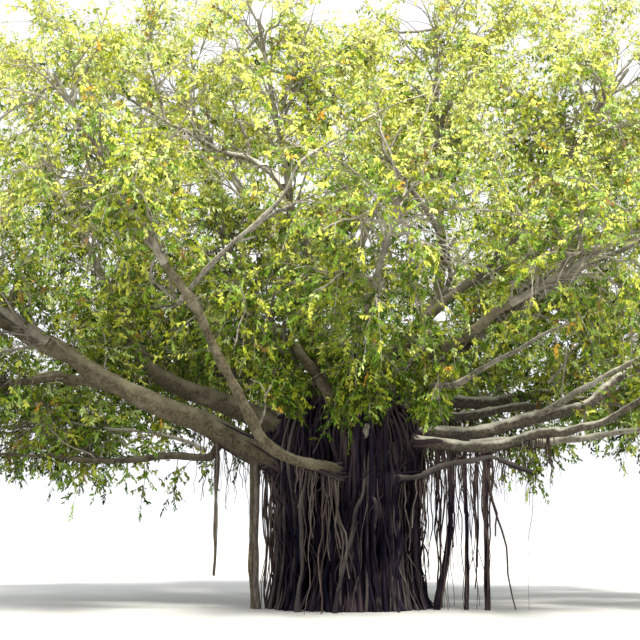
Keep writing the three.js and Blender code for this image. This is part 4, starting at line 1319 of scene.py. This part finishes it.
# Side twigs that leave a mass's own twigs keep to its space. Those on a bough or a leafy branch hang
# lower, and leave the photo's open places open.
def sideTwigs(index, carriers, n, stretch, spaced, rng, reach=1.0):
    shares = [between(stretch, (np.arange(n) + rng.uniform(0, 1)) / n) for line in carriers]
    roots = np.vstack([line(share) for line, share in zip(carriers, shares)])
    aheads = np.vstack([tangent(line, share) for line, share in zip(carriers, shares)])
    turns = np.concatenate([np.arange(n) * goldenTurn + rng.uniform(*sideSet["phase"]) for line in carriers])
    turns += rng.normal(0, sideSet["stray"], len(turns))
    outward = unit((roots - middles[index]) / spreads[index])
    lean = rng.uniform(*sideSet["lean"], (len(roots), 1))
    lift = np.array([0, 0, sideSet["lift"] if spaced else sideSet["hang"]])
    direction = unit(aheads * lean + around(aheads, turns) + outward * sideSet["outward"] + lift)
    length = between(sideSet["length"], rng.uniform(size=len(roots)))
    length *= sideSet["shorter"][0] - sideSet["shorter"][1] * np.concatenate(shares)
    length *= reach
    if spaced:
        for attempt in range(sideSet["tries"]):
            inner = massSet["outerShare"] - sideSet["within"]
            fits = insideSpace(index, roots + direction * length[:, None], inner)
            length = np.where(fits, length, length * sideSet["cut"])
    ends = roots + direction * length[:, None]
    keep = clearOfLimbs(ends)
    if spaced:
        keep &= insideSpace(index, ends, massSet["outerShare"])
    else:
        keep &= keepsPhotoOpen(ends, rng) & keepsPhotoOpen((roots + ends) / 2, rng)
    roots, direction, length = roots[keep], direction[keep], length[keep]
    t = np.linspace(0, 1, sideSet["steps"])
    rows = roots[:, None] + direction[:, None] * (length[:, None] * t)[:, :, None]
    droop = np.outer(length, t ** 2 * sideSet["droop"])
    rows[:, :, 2] -= droop - np.outer(length, t * (1 - t)) * sideSet["arch"]
    return rows, tubeArrays(rows, between(sideSet["girth"], t), sideSet["sides"])


# A shoot at a side twig's end runs on from it, and the others stand off it.
shootSet = {
    "count": 7, "from": (0.15, 1.0), "length": (0.22, 0.42), "girth": 0.004,
    "ahead": (1.0, 0.6), "aside": (0.15, 0.9), "hang": -0.15, "stray": 0.15,
}


def shootsOn(index, rows, spaced, rng):
    n, last = shootSet["count"], rows.shape[1] - 1
    shares = between(shootSet["from"], (np.arange(n)[None] + rng.uniform(0, 1, (len(rows), n))) / n)
    shares[:, -1] = 1
    step = np.minimum((shares * last).astype(int), last - 1)
    row = np.arange(len(rows))[:, None]
    a, b = rows[row, step], rows[row, step + 1]
    bases = (a + (b - a) * (shares * last - step)[:, :, None]).reshape(-1, 3)
    aheads = unit(b - a).reshape(-1, 3)
    turns = (np.arange(n)[None] * goldenTurn + rng.uniform(0, 2 * math.pi, (len(rows), 1))).ravel()
    end = (shares.ravel() == 1)[:, None]
    onward = aheads * np.where(end, *shootSet["ahead"])
    onward += around(aheads, turns) * np.where(end, *shootSet["aside"])
    stray = rng.normal(0, shootSet["stray"], bases.shape)
    direction = unit(onward + np.array([0, 0, shootSet["hang"]]) + stray)
    tips = bases + direction * between(shootSet["length"], rng.uniform(size=len(bases)))[:, None]
    keep = clearOfLimbs(tips) & clearOfLimbs(bases)
    keep &= keepsPhotoOpen(tips, rng) & keepsPhotoOpen((bases + tips) / 2, rng)
    if spaced:
        keep &= insideSpace(index, tips, massSet["outerShare"])
    bases, tips = bases[keep], tips[keep]
    return bases, tips, spikeArrays(bases, tips, shootSet["girth"])


# The colour of each spray by its place, as painted light and shade: lighter high up and at the top and
# outside of its mass, with more sunlit leaves there, and darker over the trunk and round the left boughs,
# with a random stray on top.
shadeSet = {
    "crown": (2.6, 14.5), "start": 1.6, "height": 2.5, "heightTo": 0.72, "outer": 1.0, "outerTo": 1.1,
    "up": 0.6, "trunk": 1.1, "trunkHeight": (1.3, 0.5), "trunkSide": 5,
    "left": 0.9, "leftHeight": (1.4, 6.4, 2), "leftSide": (2, 1.7),
    "stray": 1.15, "sunlit": (0.3, 0.6), "sunlitTo": (0.25, 0.85), "old": 0.018,
}


def shadesOf(index, points, rng):
    out = (points - middles[index]) / spreads[index]
    x, z = points[:, 0], points[:, 2]
    foot, top = shadeSet["crown"]
    height = (z - foot) / (top - foot)
    outer = np.minimum(np.linalg.norm(out, axis=1), shadeSet["outerTo"])
    # Painted light: lighter high up, at the outside and at the top of the mass.
    value = shadeSet["start"] + shadeSet["height"] * np.minimum(height, shadeSet["heightTo"])
    value += shadeSet["outer"] * (outer - 0.5)
    value += shadeSet["up"] * np.minimum(out[:, 2], 1)
    # Painted shade over the trunk, low in the crown.
    most, step = shadeSet["trunkHeight"]
    low = np.clip(most - height / step, 0, 1)
    value -= shadeSet["trunk"] * low * np.clip(1 - np.abs(x) / shadeSet["trunkSide"], 0, 1)
    # Painted shade round the left boughs.
    most, middle, step = shadeSet["leftHeight"]
    level = np.clip(most - np.abs(z - middle) / step, 0, 1)
    value -= shadeSet["left"] * level * np.clip(-x / shadeSet["leftSide"][0] - shadeSet["leftSide"][1], 0, 1)
    value += rng.normal(0, shadeSet["stray"], len(points))
    tone = np.clip(np.round(value), 0, tones - 1).astype(int)
    least, rise = shadeSet["sunlit"]
    sunlit = rng.uniform(size=len(points)) < np.clip(least + rise * height, *shadeSet["sunlitTo"])
    shade = np.where(sunlit, tone, tone + tones)
    old = rng.uniform(size=len(points)) < shadeSet["old"]
    return np.where(old, 2 * tones + rng.integers(0, 2, len(points)), shade)


# Two outlines of a leaf from its foot round to its foot, folded along its rib: one half is the other's
# mirror.
outlines = {
    "oval": (np.array([[0, 0], [0.27, 0.43], [0.62, 0.40], [1, 0], [0.62, -0.40], [0.27, -0.43]]),
             np.array([[0, 5, 4, 3], [0, 3, 2, 1]])),
    "kite": (np.array([[0, 0], [0.42, 0.5], [1, 0], [0.42, -0.5]]), np.array([[0, 3, 2], [0, 2, 1]])),
}
leafSet = {
    "count": 10, "length": (0.082, 0.134), "width": 0.46, "fold": 0.24, "droop": 0.1, "first": 0.7,
    "roll": 0.9, "ahead": 0.6, "aside": 0.65, "hang": -0.8, "stray": 0.5, "away": 0.8, "facing": 0.9,
    "up": 0.45, "tilt": 0.55, "longest": 0.45, "shorter": 0.25, "sizes": (0.93, 1.08), "sizesAt": (-6, 4),
    "ovalFrom": 1.0,
}


def leafArrays(roots, axes, normals, lengths, shades, kind):
    outline, halves = outlines[kind]
    across = unit(np.cross(normals, axes))
    up = np.cross(axes, across)
    along = outline[:, 0]
    side = outline[:, 1] * leafSet["width"]
    lift = np.abs(side) * leafSet["fold"] - along ** 2 * leafSet["droop"]
    corners = (roots[:, None] + lengths[:, None, None] * (
        axes[:, None] * along[:, None] + across[:, None] * side[:, None] + up[:, None] * lift[:, None]))
    faces = (np.arange(len(roots))[:, None, None] * len(outline) + halves).reshape(-1, halves.shape[1])
    return corners.reshape(-1, 3), faces, np.repeat(shades, len(halves))


# Leaves stand to the left and right of their shoot by turns, hang, and face outwards.
def leavesOn(index, bases, tips, rng):
    n = leafSet["count"]
    share = (np.arange(n) + leafSet["first"]) / n
    roots = (bases[:, None] + (tips - bases)[:, None] * share[:, None]).reshape(-1, 3)
    ahead = np.repeat(unit(tips - bases), n, 0)
    hand = np.tile(np.where(np.arange(n) % 2, 0, math.pi), len(bases))
    roll = np.repeat(rng.uniform(-leafSet["roll"], leafSet["roll"], len(bases)), n)
    axes = unit(ahead * leafSet["ahead"] + around(ahead, hand + roll) * leafSet["aside"]
                + np.array([0, 0, leafSet["hang"]]) + rng.normal(0, leafSet["stray"], roots.shape))
    facing = unit(unit((roots - middles[index]) / spreads[index]) + unit(roots * (1, 1, 0)) * leafSet["away"])
    normals = unit(facing * leafSet["facing"] + np.array([0, 0, leafSet["up"]])
                   + rng.normal(0, leafSet["tilt"], roots.shape))
    lengths = between(leafSet["length"], rng.uniform(size=len(roots)))
    lengths *= np.tile(1 - leafSet["shorter"] * np.abs(share - leafSet["longest"]), len(bases))
    lengths *= np.interp(middles[index][1], leafSet["sizesAt"], leafSet["sizes"])
    shades = np.repeat(shadesOf(index, tips, rng), n)
    out = np.linalg.norm((tips - middles[index]) / spreads[index], axis=1)
    outer = np.repeat(out > leafSet["ovalFrom"], n)
    return [leafArrays(roots[pick], axes[pick], normals[pick], lengths[pick], shades[pick], kind)
            for kind, pick in (("oval", outer), ("kite", ~outer))]


def makeMass(index, name, carriers, tubes, rng):
    rows, sideTubes = sideTwigs(index, carriers, sideSet["count"], sideSet["from"], True, rng)
    bases, tips, shootTubes = shootsOn(index, rows, True, rng)
    twigParts = [*tubes, sideTubes, shootTubes]
    first, count = leafyBoughs[name]
    leafy = [(limbLines[name], first, count, 1.0)]
    steps = np.linspace(0, 1, fineSet["steps"])
    for size, count, reach, spots in leafyBranches.get(name, []):
        line = lineInPhoto(spots)
        leafy.append((line, sideSet["leafyFrom"], count, reach))
        twigParts.append(tubeArrays(line(steps)[None], between(leafySizes[size], steps), fineSet["sides"]))
    for line, first, count, reach in leafy:
        rows, sideTubes = sideTwigs(index, [line], count, (first, 1.0), False, rng, reach)
        moreBases, moreTips, shootTubes = shootsOn(index, rows, False, rng)
        bases, tips = np.vstack([bases, moreBases]), np.vstack([tips, moreTips])
        twigParts += [sideTubes, shootTubes]
    twigPiece = meshFromArrays("twigs_" + name, twigParts, [barks["twig"]], smooth=True)
    handOver(twigPiece, "bough_bark", "leaves_" + name)
    leafPiece = meshFromArrays("foliage_" + name, leavesOn(index, bases, tips, rng), leafMaterials)
    handOver(leafPiece, "foliage", "leaves_" + name)
    return len(leafPiece.data.polygons) // 2


# All twigs come before the first leaf, because leaves keep clear of the twigs that show bare.
draws = [np.random.default_rng(massSet["seed"] + index) for index in range(len(boughNames))]
frameworks = [massTwigs(index, name, draws[index]) for index, name in enumerate(boughNames)]
leafTotal = 0
for index, name in enumerate(boughNames):
    leafTotal += makeMass(index, name, *frameworks[index], draws[index])
report(f"foliage: {leafTotal} leaves")


# Floor

floorSet = {"size": 400, "colour": (0.55, 0.55, 0.54), "roughness": 0.9}


def makeFloor():
    shape = bmesh.new()
    bmesh.ops.create_grid(shape, x_segments=1, y_segments=1, size=floorSet["size"])
    mesh = bpy.data.meshes.new("floor")
    shape.to_mesh(mesh)
    shape.free()
    mesh.materials.append(plainMaterial("floor", floorSet["colour"], floorSet["roughness"]))
    return addObject("floor", mesh)


def trianglesOf(piece):
    return len(piece.data.loops) - 2 * len(piece.data.polygons)


floor = makeFloor()

shown = [piece for piece in bpy.data.objects if piece.type == "MESH" and not piece.hide_render]
biggest = max(shown, key=trianglesOf)
report(f"{sum(map(trianglesOf, shown))} triangles, most in {biggest.name}: {trianglesOf(biggest)}")
